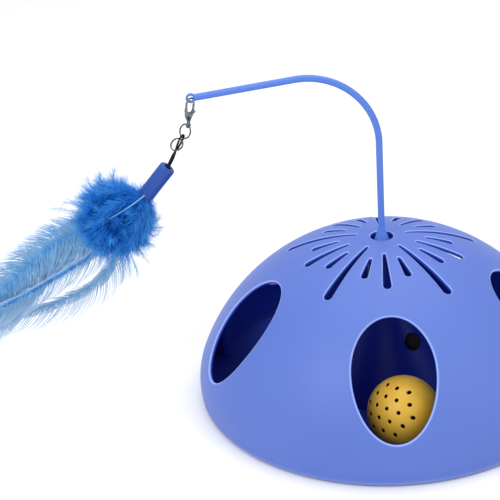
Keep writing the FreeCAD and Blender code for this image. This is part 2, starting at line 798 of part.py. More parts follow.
cell_height = tray_top + cell_play + cell_radius
roof_under = cell_height + cell_radius + cell_headroom
roof_top = roof_under + box_roof
gear_low = roof_top + gear_lift
gear_middle = gear_low + gear_width + gear_space
gear_high = gear_middle + gear_width + gear_space
cover_under = gear_high + gear_width + touch
cover_top = cover_under + cover_thickness
motor_place = (zero, motor_reach)


def pitch_radius(teeth):
    return gear_module * teeth / 2.0


first_distance = pitch_radius(pinion_teeth) + pitch_radius(first_teeth)
second_distance = pitch_radius(small_teeth) + pitch_radius(second_teeth)
output_distance = pitch_radius(small_teeth) + pitch_radius(output_teeth)
first_place = (motor_place[0] + first_distance * cosine(first_bearing),
               motor_place[1] + first_distance * sine(first_bearing))
first_away = root(first_place[0] * first_place[0] + first_place[1] * first_place[1])
first_heading = arc_tangent(first_place[1], first_place[0])
second_spread = arc_cosine((output_distance * output_distance + first_away * first_away
                            - second_distance * second_distance) / (output_distance * first_away * 2.0))
second_place = on_ring(output_distance, first_heading + second_spread)
post_places = [(size("front_post_x", -4.0), size("front_post_y", -19.5)),
               (size("side_post_x", 15.0), size("side_post_y", 3.0)),
               (size("rear_post_x", 4.0), size("rear_post_y", 19.5))]

box = body("battery_box")
base = sketch(box, "box_outline", at=(0, 0, tray_top))
rectangle(base, -box_out_x, box_out_x, -box_out_y, box_out_y)
pad(box, base, roof_top - tray_top, "box_block")
room = sketch(box, "box_room_outline", at=(0, 0, tray_top))
rectangle(room, -box_half_x, box_half_x, -box_half_y, box_half_y)
pocket(box, room, roof_under - tray_top, "box_room", up=True)
lugs = sketch(box, "box_lugs_outline", at=(0, 0, pad_top))
for side in (-1, 1):
    circle(lugs, lug_x * side, 0, boss_radius)
pad(box, lugs, hub_rise, "box_lugs")
necks = sketch(box, "lug_necks_outline", at=(0, 0, pad_top))
for side in (-1, 1):
    ends = sorted([(box_out_x - box_wall / 2.0) * side, lug_x * side], key=float)
    rectangle(necks, ends[0], ends[1], -lug_neck, lug_neck)
pad(box, necks, hub_rise, "lug_necks")
pilots = sketch(box, "lug_pilots_outline", at=(0, 0, pad_top))
for side in (-1, 1):
    circle(pilots, lug_x * side, 0, shank_radius + snug)
pocket(box, pilots, shank_length + touch, "lug_pilots", up=True)
anchor = sketch(box, "door_anchor_outline", at=(0, 0, tray_top))
circle(anchor, 0, door_screw_y, slim_boss)
pad(box, anchor, hub_rise, "door_anchor")
anchor_hole = sketch(box, "door_anchor_pilot_outline", at=(0, 0, tray_top))
circle(anchor_hole, 0, door_screw_y, door_shank + snug)
pocket(box, anchor_hole, hub_rise - pilot_floor, "door_anchor_pilot", up=True)
posts = sketch(box, "cover_posts_outline", at=(0, 0, roof_top))
for x, y in post_places:
    circle(posts, x, y, cover_post)
pad(box, posts, cover_under - roof_top, "cover_posts")
cover_screw = size("cover_screw_radius", 0.9)
cover_screw_length = size("cover_screw_length", 7.0)
cover_head = size("cover_screw_head_radius", 1.8)
cover_head_height = size("cover_screw_head_height", 1.1)
post_holes = sketch(box, "post_holes_outline", at=(0, 0, cover_under))
for x, y in post_places:
    circle(post_holes, x, y, cover_screw + snug)
pocket(box, post_holes, cover_screw_length - cover_thickness + touch, "post_holes")
seats = sketch(box, "gear_seats_outline", at=(0, 0, roof_top))
for x, y in (first_place, second_place):
    circle(seats, x, y, seat_radius)
circle(seats, 0, 0, drive_radius + drive_boss)
pad(box, seats, gear_low - roof_top - touch, "gear_seats")
bores = sketch(box, "axle_bores_outline", at=(0, 0, gear_low))
for x, y in (first_place, second_place):
    circle(bores, x, y, axle_radius + snug)
axle_sink = size("axle_sink", 1.0)
pocket(box, bores, gear_low - roof_top + axle_sink, "axle_bores")
drive_bore = sketch(box, "drive_bore_outline", at=(0, 0, gear_low))
circle(drive_bore, 0, 0, drive_radius + running)
pocket(box, drive_bore, gear_low - roof_under, "drive_bore")

door = body("battery_door")
base = sketch(door, "door_outline", at=(0, 0, rim_lift))
tongue_half = door_tongue / 2.0
outline(base, [(-door_half_x, -door_half_y), (door_half_x, -door_half_y), (door_half_x, door_half_y),
               (tongue_half, door_half_y), (tongue_half, tongue_end), (-tongue_half, tongue_end),
               (-tongue_half, door_half_y), (-door_half_x, door_half_y)])
pad(door, base, door_thickness, "door_plate")
tabs = sketch(door, "door_tabs_outline", at=(0, 0, rim_lift + door_thickness - tab_thickness))
for side in (-1, 1):
    middle = tab_place * side
    rectangle(tabs, middle - tab_half, middle + tab_half, -hatch_y - tab_reach, -door_half_y + tab_root)
pad(door, tabs, tab_thickness, "door_tabs")
grip_count = size("door_grip_count", 5)
grip_half = size("door_grip_half_length", 6.0)
grip_width = size("door_grip_width", 0.8)
grip_pitch = size("door_grip_pitch", 1.6)
grip_depth = size("door_grip_depth", 0.5)
grip_edge = door_half_y - size("door_grip_margin", 2.4)
grip = sketch(door, "door_grip_outline", at=(0, 0, rim_lift))
rectangle(grip, -grip_half, grip_half, grip_edge - grip_width, grip_edge)
gripped = pocket(door, grip, grip_depth, "door_grip", up=True)
row = door.newObject("PartDesign::LinearPattern", "door_grips")
row.Originals = [gripped]
row.Direction = (plane(door, "Y_Axis"), [""])
row.Reversed = True
bind(row, "Length", grip_pitch * (grip_count - 1.0))
bind(row, "Occurrences", grip_count)
door.Tip = row
sink = sketch(door, "door_sink_outline", at=(0, 0, rim_lift))
circle(sink, 0, door_screw_y, door_head + running * 2.0)
pocket(door, sink, door_sink_depth, "door_sink", up=True)
passage = sketch(door, "door_hole_outline", at=(0, 0, rim_lift))
circle(passage, 0, door_screw_y, door_shank + running * 2.0)
pocket(door, passage, door_thickness, "door_hole", up=True)

door_screw = body("battery_door_screw")
head = sketch(door_screw, "door_screw_head_outline", at=(0, 0, rim_lift + door_sink_depth - door_head_depth))
circle(head, 0, door_screw_y, door_head)
pad(door_screw, head, door_head_depth, "door_screw_head")
shank = sketch(door_screw, "door_screw_shank_outline", at=(0, 0, rim_lift + door_sink_depth))
circle(shank, 0, door_screw_y, door_shank)
pad(door_screw, shank, shank_length, "door_screw_shank")

for index in range(3):
    way = -1 if index == 1 else 1
    x = cell_pitch * (index - 1)
    can = primitive("Cylinder", "cell_can_%d" % (index + 1), (x, -cell_length * way / 2.0, cell_height),
                    [("x", -90.0 * way)], Radius=cell_radius, Height=cell_length - nub_length)
    nub = primitive("Cylinder", "cell_nub_%d" % (index + 1),
                    (x, (cell_length / 2.0 - nub_length) * way, cell_height),
                    [("x", -90.0 * way)], Radius=nub_radius, Height=nub_length)
    joined("cell_%d" % (index + 1), [can, nub])


def contacts(label, ways, wide, narrow):
    # plates against the end walls, each with a cone that reaches its cell
    owner = body(label)
    for index, way in ways:
        x = cell_pitch * (index - 1)
        plates = sketch(owner, "%s_plate_%d" % (label, index), "XZ_Plane", (0, 0, -box_half_y * way))
        rectangle(plates, x - contact_side / 2.0, x + contact_side / 2.0,
                  cell_height - contact_side / 2.0, cell_height + contact_side / 2.0)
        pad(owner, plates, contact_thickness, "%s_leaf_%d" % (label, index), down=way < 0)
    for index, way in ways:
        x = cell_pitch * (index - 1)
        nose = sketch(owner, "%s_nose_%d" % (label, index), "XZ_Plane",
                      (0, 0, (contact_thickness - box_half_y) * way))
        circle(nose, x, cell_height, wide)
        cone = pad(owner, nose, contact_room, "%s_cone_%d" % (label, index), down=way < 0)
        bind(cone, "TaperAngle", narrow)
    return owner


contacts("negative_contacts", [(0, -1), (1, 1), (2, -1)], size("spring_radius", 3.6), -35.0)
contacts("positive_contacts", [(0, 1), (1, -1), (2, 1)], size("dimple_radius", 2.2), -25.0)


# Gears: involute teeth of the shared module, thinned for backlash

def gear_outline(teeth, height, tooth_bearing):
    # closed wire of the gear's edge at a height; tooth_bearing is where one tooth points
    pitch = float(pitch_radius(teeth))
    base_radius = pitch * math.cos(math.radians(pressure_angle))
    tip = pitch + 0.85 * gear_module
    foot = pitch - 1.2 * gear_module
    involute_at_pitch = math.tan(math.radians(pressure_angle)) - math.radians(pressure_angle)
    half_tooth = math.pi / (2 * teeth) - backlash / (4 * pitch)

    def flank(radius):
        # half the tooth's angle at a radius
        if radius <= base_radius:
            return half_tooth + involute_at_pitch
        roll = math.acos(base_radius / radius)
        return half_tooth + involute_at_pitch - (math.tan(roll) - roll)

    def at(radius, angle):
        return Vector(radius * math.cos(angle), radius * math.sin(angle), float(height))

    start = max(base_radius, foot)
    edges = []
    for tooth in range(int(teeth)):
        middle = math.radians(tooth_bearing) + 2 * math.pi * tooth / teeth
        following = middle + 2 * math.pi / teeth
        half_way = (start + tip) / 2
        rise = [at(r, middle - flank(r)) for r in (start, half_way, tip)]
        fall = [at(r, middle + flank(r)) for r in (tip, half_way, start)]
        if foot < start:
            edges.append(Part.LineSegment(at(foot, middle - flank(foot)), rise[0]).toShape())
        edges.append(Part.Arc(*rise).toShape())
        edges.append(Part.Arc(rise[2], at(tip, middle), fall[0]).toShape())
        edges.append(Part.Arc(*fall).toShape())
        if foot < start:
            edges.append(Part.LineSegment(fall[2], at(foot, middle + flank(foot))).toShape())
        root_from = middle + flank(foot)
        root_to = following - flank(foot)
        edges.append(Part.Arc(at(foot, root_from), at(foot, (root_from + root_to) / 2),
                              at(foot, root_to)).toShape())
    return Part.Wire(edges)


def gear_disc(teeth, height, tooth_bearing):
    return Part.Face(gear_outline(teeth, height, tooth_bearing)).extrude(Vector(0, 0, float(gear_width)))


def rod_shape(radius, bottom, top):
    return Part.makeCylinder(float(radius), float(top - bottom), Vector(0, 0, float(bottom)))


def heading(start, end):
    return math.degrees(math.atan2(end[1] - start[1], end[0] - start[0]))


def gap_towards(teeth, bearing):
    # the bearing of a tooth, so that a gap faces the mating gear
    return bearing + 180.0 / teeth


centre = (zero, zero)
output = gear_disc(output_teeth, gear_low, heading(centre, second_place))
output = output.fuse(rod_shape(drive_radius + drive_boss, gear_low, gear_low + gear_width))
output = output.cut(rod_shape(drive_radius + snug, roof_top, cover_under))
shaped("output_gear", output)

second = gear_disc(small_teeth, gear_low, gap_towards(small_teeth, heading(second_place, centre)))
meeting = gap_towards(second_teeth, heading(second_place, first_place))
second = second.fuse(gear_disc(second_teeth, gear_middle, meeting))
second = second.fuse(rod_shape(gear_boss, gear_low, cover_under - touch))
second = second.cut(rod_shape(axle_radius + running, roof_top, cover_under))
shaped("second_gear", second, (second_place[0], second_place[1], 0))

first = gear_disc(small_teeth, gear_middle, heading(first_place, second_place))
meeting = gap_towards(first_teeth, heading(first_place, motor_place))
first = first.fuse(gear_disc(first_teeth, gear_high, meeting))
first = first.fuse(rod_shape(gear_boss, gear_low, gear_high + gear_width))
first = first.cut(rod_shape(axle_radius + running, roof_top, cover_under))
shaped("first_gear", first, (first_place[0], first_place[1], 0))

pinion = gear_disc(pinion_teeth, gear_high, heading(motor_place, first_place))
pinion = pinion.cut(rod_shape(motor_shaft_radius, gear_middle, cover_under))
shaped("motor_pinion", pinion, (motor_place[0], motor_place[1], 0))
motor_shaft_end = cover_top + size("motor_shaft_rise", 6.0)
shaped("motor_shaft", rod_shape(motor_shaft_radius, gear_high, motor_shaft_end),
       (motor_place[0], motor_place[1], 0))

axles = body("axle_pins")
pins = sketch(axles, "axle_pins_outline", at=(0, 0, roof_top - axle_sink))
for x, y in (first_place, second_place):
    circle(pins, x, y, axle_radius)
axle_rise = size("axle_rise", 1.0)
pad(axles, pins, cover_under + axle_rise - roof_top + axle_sink, "axle_pins_padded")

cover = body("gearbox_cover")
plate = sketch(cover, "cover_outline", at=(0, 0, cover_under))
circle(plate, 0, 0, cover_radius)
pad(cover, plate, cover_thickness, "cover_plate")
motor_wall = size("motor_collar_wall", 1.2)
motor_fit = size("motor_fit", 0.1)
motor_rise = size("motor_collar_rise", 4.0)
half_wide = motor_width / 2.0 + motor_fit
half_deep = motor_depth / 2.0 + motor_fit
collar = sketch(cover, "motor_collar_outline", at=(0, 0, cover_top))
rectangle(collar, -half_wide - motor_wall, half_wide + motor_wall,
          motor_reach - half_deep - motor_wall * 0.5, motor_reach + half_deep + motor_wall)
pad(cover, collar, motor_rise, "motor_collar")
nest = sketch(cover, "motor_nest_outline", at=(0, 0, cover_top))
rectangle(nest, -half_wide, half_wide, motor_reach - half_deep, motor_reach + half_deep)
pocket(cover, nest, motor_rise, "motor_nest", up=True)
passes = sketch(cover, "cover_passes_outline", at=(0, 0, cover_under))
circle(passes, 0, 0, drive_radius + touch)
circle(passes, motor_place[0], motor_place[1], motor_shaft_radius + touch)
for x, y in post_places:
    circle(passes, x, y, cover_screw + running)
pocket(cover, passes, cover_thickness, "cover_passes", up=True)
sockets = sketch(cover, "axle_sockets_outline", at=(0, 0, cover_under))
for x, y in (first_place, second_place):
    circle(sockets, x, y, axle_radius + snug)
pocket(cover, sockets, axle_rise + snug, "axle_sockets", up=True)

cover_screws = body("gearbox_screws")
shanks = sketch(cover_screws, "cover_screw_shanks_outline", at=(0, 0, cover_top))
heads = sketch(cover_screws, "cover_screw_heads_outline", at=(0, 0, cover_top))
for x, y in post_places:
    circle(shanks, x, y, cover_screw)
    circle(heads, x, y, cover_head)
pad(cover_screws, heads, cover_head_height, "cover_screw_heads")
pad(cover_screws, shanks, cover_screw_length, "cover_screw_shanks", down=True)

can_block = primitive("Box", "motor_block", (-motor_width / 2.0, motor_reach - motor_depth / 2.0, cover_top),
                      Length=motor_width, Width=motor_depth, Height=motor_length)
can_bore = primitive("Cylinder", "motor_bore", (motor_place[0], motor_place[1], cover_top),
                     Radius=motor_shaft_radius + running, Height=motor_shaft_end - cover_top + touch)
motor_round = doc.addObject("Part::Fillet", "motor_block_rounded")
motor_round.Base = can_block
motor_corner = float(size("motor_corner_radius", 1.5))
motor_round.Edges = [(n, motor_corner, motor_corner) for n in (1, 3, 5, 7)]
cut("motor_can", motor_round, can_bore)
cap_thickness = size("motor_cap_thickness", 2.0)
cap_inset = size("motor_cap_inset", 1.2)
cap = body("motor_end_cap")
base = sketch(cap, "cap_outline", at=(0, 0, cover_top + motor_length))
rectangle(base, cap_inset - motor_width / 2.0, motor_width / 2.0 - cap_inset,
          motor_reach - motor_depth / 2.0 + cap_inset, motor_reach + motor_depth / 2.0 - cap_inset)
pad(cap, base, cap_thickness, "cap_block")

shaft_top = collar_height - plug_length - size("shaft_end_room", 2.0)
socket_low = collar_height - socket_length
shaft = body("drive_shaft")
section = sketch(shaft, "shaft_outline", at=(0, 0, roof_under + touch))
circle(section, 0, 0, drive_radius)
pad(shaft, section, shaft_top - roof_under - touch, "shaft_rod")

socket = body("wand_socket")
section = sketch(socket, "socket_outline", at=(0, 0, socket_low))
circle(section, 0, 0, socket_radius)
pad(socket, section, socket_length, "socket_rod")
square = sketch(socket, "socket_square", at=(0, 0, collar_height))
plug_half = plug_side / 2.0 + snug
rectangle(square, -plug_half, plug_half, -plug_half, plug_half)
pocket(socket, square, plug_length + touch, "square_hole")
round_hole = sketch(socket, "socket_bore_outline", at=(0, 0, socket_low))
circle(round_hole, 0, 0, drive_radius + snug)
pocket(socket, round_hole, shaft_top - socket_low + touch, "shaft_hole", up=True)

bush = body("top_bush")
section = sketch(bush, "bush_outline", at=(0, 0, bush_height))
circle(section, 0, 0, neck_bore - snug)
circle(section, 0, 0, socket_radius + running)
pad(bush, section, bush_length, "bush_ring")


# Wand: plug, flange, trumpet foot, bent rod and eye

bend_turn = 90.0 + arm_droop
bend_tangent = bend_radius * tangent(bend_turn / 2.0)
bend_start = corner_height - bend_tangent
arm_x = -cosine(arm_droop)
arm_z = -sine(arm_droop)
bend_end = (bend_tangent * arm_x, corner_height + bend_tangent * arm_z)
eye_place = (arm_length * arm_x, corner_height + arm_length * arm_z)
rod_end_length = arm_length - eye_radius + size("rod_eye_overlap", 0.5)
rod_end = (rod_end_length * arm_x, corner_height + rod_end_length * arm_z)
trumpet_start = collar_height + collar_thick
trumpet_base = trumpet_start + size("trumpet_base_height", 2.0)
trumpet_top = trumpet_base + trumpet_length
# the flare's arc runs out level with the rod
trumpet_flare = trumpet_radius - rod_radius
trumpet_curve = (trumpet_flare * trumpet_flare + trumpet_length * trumpet_length) / (trumpet_flare * 2.0)

wand = body("wand")
section = sketch(wand, "trumpet_profile", "XZ_Plane")
outline(section, [(zero, collar_height), (collar_radius, collar_height), (collar_radius, trumpet_start),
                  (trumpet_radius, trumpet_start), (trumpet_radius, trumpet_base),
                  (rod_radius, trumpet_top), (zero, trumpet_top)],
        {4: (trumpet_curve, -1)})
turned(wand, section, "trumpet")
square = sketch(wand, "plug_outline", at=(0, 0, collar_height))
rectangle(square, -plug_side / 2.0, plug_side / 2.0, -plug_side / 2.0, plug_side / 2.0)
pad(wand, square, plug_length, "plug", down=True)
path = sketch(wand, "rod_path", "XZ_Plane")
outline(path, [(zero, trumpet_start), (zero, bend_start), bend_end, rod_end],
        {1: (bend_radius, 1)}, closed=False)
rod_start = sketch(wand, "rod_outline", at=(0, 0, trumpet_start))
circle(rod_start, 0, 0, rod_radius)
rod = feature(wand, "AdditivePipe", "rod", rod_start)
rod.Spine = path
eye = sketch(wand, "eye_outline", "XZ_Plane")
circle(eye, eye_place[0], eye_place[1], eye_radius)
pad(wand, eye, eye_thickness, "eye", both=True)
eye_cut = sketch(wand, "eye_hole_outline", "XZ_Plane")
circle(eye_cut, eye_place[0], eye_place[1], eye_hole)
pocket(wand, eye_cut, rod_radius * 3.0, "eye_hole", both=True)


# Clasp: a wire hook through the wand's eye, a sprung gate and a tail ring

clasp_turns = [("y", clasp_tilt), ("z", clasp_bearing)]
clasp_at = (eye_place[0], zero, eye_place[1])
hook_low = size("hook_low", 7.5)
tail_thickness = size("tail_ring_thickness", 1.2)
gate_thickness = size("gate_thickness", 1.0)
gate_pin = size("gate_pin_radius", 0.4)
gate_play = size("gate_play", 0.2)
pivot = (hook_half - 0.6, -(hook_low + 1.6))

clasp = body("clasp_body", clasp_at, clasp_turns)
path = sketch(clasp, "hook_path", "XZ_Plane")
outline(path, [(-hook_half, -hook_low), (-hook_half, -hook_half), (zero, zero), (hook_half, -hook_half),
               (hook_half, -hook_half - 0.6)], {1: (hook_half, -1), 2: (hook_half, -1)}, closed=False)
wire = sketch(clasp, "hook_wire_outline", at=(0, 0, -hook_low))
circle(wire, -hook_half, 0, hook_wire)
hook = feature(clasp, "AdditivePipe", "hook", wire)
hook.Spine = path
shield = sketch(clasp, "clasp_outline", "XZ_Plane")
outline(shield, [(-hook_half - 0.7, -hook_low + 0.5), (-hook_half + 0.8, -hook_low + 0.5),
                 (-hook_half + 1.8, -hook_low - 0.9), (hook_half + 0.4, -hook_low - 0.9),
                 (hook_half + 0.2, -hook_low - 2.7), (1.3, -clasp_length + 3.1), (0.9, -clasp_length + 1.5),
                 (-0.9, -clasp_length + 1.5), (-1.3, -clasp_length + 3.1),
                 (-hook_half - 0.4, -hook_low - 2.5)])
pad(clasp, shield, clasp_thickness, "clasp_shield", both=True)
tail = sketch(clasp, "tail_outline", "XZ_Plane")
circle(tail, 0, -clasp_length, tail_radius)
pad(clasp, tail, tail_thickness, "tail_ring", both=True)
tail_cut = sketch(clasp, "tail_hole_outline", "XZ_Plane")
circle(tail_cut, 0, -clasp_length, tail_hole)
pocket(clasp, tail_cut, clasp_thickness * 2.0, "tail_hole", both=True)
fork = sketch(clasp, "gate_slot_outline", "XZ_Plane")
rectangle(fork, pivot[0] - 1.5, hook_half + 3.0, pivot[1] - 1.6, -hook_low + 1.0)
pocket(clasp, fork, gate_thickness + gate_play, "gate_slot", both=True)
pivot_cut = sketch(clasp, "pivot_hole_outline", "XZ_Plane")
circle(pivot_cut, pivot[0], pivot[1], gate_pin + snug)
pocket(clasp, pivot_cut, clasp_thickness * 2.0, "pivot_hole", both=True)

gate = body("clasp_gate", clasp_at, clasp_turns)
lever = sketch(gate, "gate_outline", "XZ_Plane")
tip = -hook_half - 0.6 - touch
outline(lever, [(hook_half - 0.5, tip), (hook_half + 0.5, tip), (hook_half + 0.4, pivot[1] + 1.3),
                (hook_half + 1.7, pivot[1] + 0.6), (hook_half + 1.5, pivot[1] - 0.3),
                (pivot[0] + 0.6, pivot[1] - 0.9), (pivot[0] - 0.6, pivot[1] - 0.8),
                (pivot[0] - 0.9, pivot[1] + 0.3), (hook_half - 0.5, pivot[1] + 2.0)])
pad(gate, lever, gate_thickness, "gate_lever", both=True)
pivot_cut = sketch(gate, "gate_hole_outline", "XZ_Plane")
circle(pivot_cut, pivot[0], pivot[1], gate_pin + running)
pocket(gate, pivot_cut, clasp_thickness * 2.0, "gate_hole", both=True)

pin = body("clasp_pin", clasp_at, clasp_turns)
round_pin = sketch(pin, "pin_outline", "XZ_Plane")
circle(round_pin, pivot[0], pivot[1], gate_pin)
pad(pin, round_pin, clasp_thickness, "pin", both=True)


# Rings: each plane holds the chain's own direction and the way through the piece above

def across_turn(tilt):
    return arc_tangent(-cosine(clasp_bearing), sine(clasp_bearing) * cosine(tilt))


def below(start, tilt, reach):
    return (start[0] - reach * sine(tilt), zero, start[2] - reach * cosine(tilt))


tail_place = below(clasp_at, clasp_tilt, clasp_length)
jump_place = below(tail_place, jump_tilt, jump_radius)
loop_place = below(tail_place, jump_tilt, jump_radius * 2.0)
primitive("Torus", "jump_ring", jump_place, [("y", jump_tilt), ("z", across_turn(jump_tilt)), ("x", 90.0)],
          Radius1=jump_radius, Radius2=ring_wire)
cord_turns = [("y", cord_tilt), ("z", across_turn(cord_tilt))]
second_lean = size("split_ring_lean", 25.0)
second_drop = size("split_ring_drop", 1.5)
split = doc.addObject("Part::Torus", "split_ring")
bind(split, "Radius1", second_ring)
bind(split, "Radius2", ring_wire)
split.setExpression("Placement", "placement(%s; %s) * placement(%s; %s)" % (
    vector_text(*loop_place), turn_text(cord_turns),
    vector_text(0, -second_ring * sine(second_lean), -second_drop - second_ring * cosine(second_lean)),
    turn_text([("x", 90.0 - second_lean)])))
for ring in ("jump_ring", "split_ring"):
    nodes.append(doc.getObject(ring))


# Cord loop: round the jump ring's wire, crossed once, both ends inside the ferrule

def rotation(turns):
    axes = {"x": Vector(1, 0, 0), "y": Vector(0, 1, 0), "z": Vector(0, 0, 1)}
    whole = Rotation()
    for axis, angle in turns:
        whole = whole.multiply(Rotation(axes[axis], float(angle)))
    return whole


def rounded_route(points, tight=None):
    # straight runs joined by tangent arcs, each as large as its two runs allow
    edges = []
    radii = []
    start = points[0]
    for before, corner, after in zip(points, points[1:], points[2:]):
        back = before - corner
        ahead = after - corner
        half = (math.pi - back.getAngle(ahead)) / 2
        radius = 0.45 * min(back.Length, ahead.Length) / math.tan(half)
        reach = radius * math.tan(half)
        first = corner + back.normalize() * reach
        last = corner + ahead.normalize() * reach
        inward = (back + ahead).normalize()
        middle = corner + inward * (radius / math.cos(half) - radius)
        edges.append(Part.LineSegment(start, first).toShape())
        edges.append(Part.Arc(first, middle, last).toShape())
        radii.append(radius)
        start = last
    edges.append(Part.LineSegment(start, points[-1]).toShape())
    return Part.Wire(edges), radii


def tube(route, radius):
    start = route.Edges[0]
    begin = start.FirstParameter
    ring = Part.Circle(start.valueAt(begin), start.tangentAt(begin), float(radius))
    return route.makePipeShell([Part.Wire(ring.toShape())], True, False)


ferrule_at = below(loop_place, cord_tilt, cord_reach)
lure_turns = [("y", lure_tilt)]
cord_frame = rotation(cord_turns)
into_cord = cord_frame.inverted()
entry = Vector(0, 0, -cord_reach)
ferrule_way = into_cord.multVec(rotation(lure_turns).multVec(Vector(0, 0, -1)))
turn_half = float(ring_wire + cord_radius) + 0.1
strand_half = float(cord_radius) + 0.15
cross_half = float(cord_radius) + 0.3
side_up = [entry + ferrule_way * 5.0, entry, Vector(0, 0, -12.0), Vector(0, 0, -7.0),
           Vector(0, 0, turn_half)]
offsets = [Vector(0, strand_half, 0), Vector(0, strand_half, 0), Vector(cross_half, 0, 0),
           Vector(0, -turn_half, 0), Vector(0, -turn_half, 0)]
up = [point + offset for point, offset in zip(side_up, offsets)]
down = [point - offset for point, offset in zip(side_up, offsets)]
route, cord_radii = rounded_route(up + down[::-1])
cord = tube(route, cord_radius)
print("cord loop length %.1f, radii %s" % (route.Length, ", ".join("%.1f" % r for r in cord_radii)))
print("cord volume against section times length: %.4f"
      % (cord.Volume / (math.pi * float(cord_radius) ** 2 * route.Length)))
shaped("cord_loop", cord, loop_place, cord_frame)


# Lure: ferrule, downy puff and hackle feathers

ferrule = body("ferrule", ferrule_at, lure_turns)
section = sketch(ferrule, "ferrule_profile", "XZ_Plane")
ferrule_round = size("ferrule_round", 1.8)
ferrule_bore = ferrule_radius - ferrule_wall
outline(section, [(ferrule_hole, zero), (ferrule_radius - ferrule_round, zero),
                  (ferrule_radius, -ferrule_round), (ferrule_radius, -ferrule_length),
                  (ferrule_bore, -ferrule_length), (ferrule_bore, -ferrule_wall * 2.0),
                  (ferrule_hole, -ferrule_wall * 2.0)],
        {1: (ferrule_round, -1)})
turned(ferrule, section, "ferrule_turned")

# the puff is a ball that starts at the ferrule's mouth and runs out in a tangent cone
puff_centre = ferrule_length + root(puff_radius * puff_radius - ferrule_bore * ferrule_bore)
puff_tip = ferrule_length + puff_length
tail_lean = arc_cosine(puff_radius / (puff_tip - puff_centre))
tail_start = (puff_radius * sine(tail_lean), -puff_centre - puff_radius * cosine(tail_lean))
puff = body("feather_puff", ferrule_at, lure_turns)
section = sketch(puff, "puff_profile", "XZ_Plane")
outline(section, [(zero, -ferrule_length), (ferrule_bore, -ferrule_length), tail_start, (zero, -puff_tip)],
        {1: (puff_radius, -1)})
turned(puff, section, "puff_turned")

# Each hackle: its quill's route in the lure's own frame and the vane's half width near its tip
hackles = [
    ([(-1.6, -0.9, -12), (-1.8, -0.9, -23), (-7, -2.5, -39), (-16.4, -4, -60), (-25.3, -4, -75),
      (-30.2, -4, -94), (-32.5, -4, -117), (-35.5, -4, -146)], 9.5),
    ([(0.2, 1.6, -12), (0.1, 1.5, -23), (1, 1, -51), (-2.1, 0, -73), (-7.5, 0, -89), (-13.6, 0, -106),
      (-19.9, 0, -123), (-34, 0, -151)], 9.0),
    ([(1.7, -0.9, -12), (1.8, -0.6, -23), (5.7, 2.5, -47), (9.4, 4, -71), (10.7, 4, -83), (6.1, 4, -96),
      (-1, 4, -112), (-12.4, 4, -128), (-36, 4, -155)], 9.0),
]
vane_shares = [0.16, 0.72, 1.0, 0.92, 0.3]


def vane_section(point, along, half_width):
    # thin lens across the quill, wide in the plane of the lure
    flat = Vector(0, 1, 0)
    wide = along.cross(flat).normalize()
    half = float(vane_thickness) / 2
    left = point - wide * half_width
    right = point + wide * half_width
    over = Part.Arc(left, point + flat * half, right).toShape()
    under = Part.Arc(right, point - flat * half, left).toShape()
    return Part.Wire([over, under])


def hackle_shape(points, half_width):
    route, radii = rounded_route([Vector(*point) for point in points])
    quill = tube(route, quill_radius)
    stations = []
    count = len(vane_shares)
    vane_end = route.Length - 1.0
    vane_start = vane_end * 0.55
    lengths = []
    total = 0.0
    for edge in route.Edges:
        lengths.append((total, edge))
        total += edge.Length
    for index, share in enumerate(vane_shares):
        reach = vane_start + (vane_end - vane_start) * index / (count - 1)
        before, edge = [pair for pair in lengths if pair[0] <= reach][-1]
        parameter = edge.getParameterByLength(reach - before)
        stations.append(vane_section(edge.valueAt(parameter), edge.tangentAt(parameter), half_width * share))
    vane = Part.makeLoft(stations, True, False)
    return quill.fuse(vane)


lure_frame = rotation(lure_turns)
for index, (points, half_width) in enumerate(hackles):
    shaped("hackle_feather_%d" % (index + 1), hackle_shape(points, half_width), ferrule_at, lure_frame)


# Ball: two halves with a lip between them, each with the same bores along its draw direction

ball_at = (ball_orbit * cosine(ball_bearing), ball_orbit * sine(ball_bearing),
           tray_top + touch + ball_radius)
ball_turns = [("z", ball_pole_turn), ("y", ball_pole_lean), ("z", ball_pole_spin)]
inner_ball = ball_radius - ball_wall
hole_row = size("ball_hole_rows", 2)
lip_outer = inner_ball - size("ball_lip_play", 0.1)
lip_inner = lip_outer - size("ball_lip_thickness", 0.7)
lip_depth = size("ball_lip_depth", 3.5)
lip_rise = size("ball_lip_rise", 1.2)
for label, side in (("ball_front_half", 1), ("ball_back_half", -1)):
    half = body(label, ball_at, ball_turns)
    section = sketch(half, label + "_profile", "XZ_Plane")
    outline(section, [(inner_ball, zero), (ball_radius, zero),
                      (zero, ball_radius * side), (zero, inner_ball * side)],
            {1: (ball_radius, side), 3: (inner_ball, -side)})
    turned(half, section, label + "_turned")
    if side < 0:
        lip = sketch(half, "ball_lip_profile", "XZ_Plane")
        rectangle(lip, lip_inner, lip_outer, -lip_depth, lip_rise)
        turned(half, lip, "ball_lip")
    bores = sketch(half, label + "_bores")
    rows = int(hole_row)
    for along in range(-rows, rows + 1):
        for over in range(-rows, rows + 1):
            if abs(along + over) <= rows:
                bore_at = (ball_pitch * (along + over / 2.0), ball_pitch * over * math.sqrt(0.75))
                circle(bores, *bore_at, ball_hole)
    pocket(half, bores, ball_radius, label + "_holes", up=side > 0)


# Checks and export

doc.recompute()
for thing in doc.Objects:
    if "Invalid" in thing.State or "Error" in thing.State:
        raise SystemExit("%s did not compute: %s" % (thing.Name, thing.State))
for node in nodes:
    if node.Shape.isNull() or not node.Shape.isValid():
        raise SystemExit(node.Label + " has no valid shape")
os.makedirs("parts", exist_ok=True)
for node in nodes:
    node.Shape.exportStep("parts/%s.step" % node.Label)
    solids = node.Shape.Solids
    print("%-22s %2d solid(s) %10.1f mm3" % (node.Label, len(solids), sum(solid.Volume for solid in solids)))
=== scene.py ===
import json
import math
import random
from functools import partial

import bmesh
import bpy
from mathutils import Matrix, Vector
from mathutils.geometry import delaunay_2d_cdt

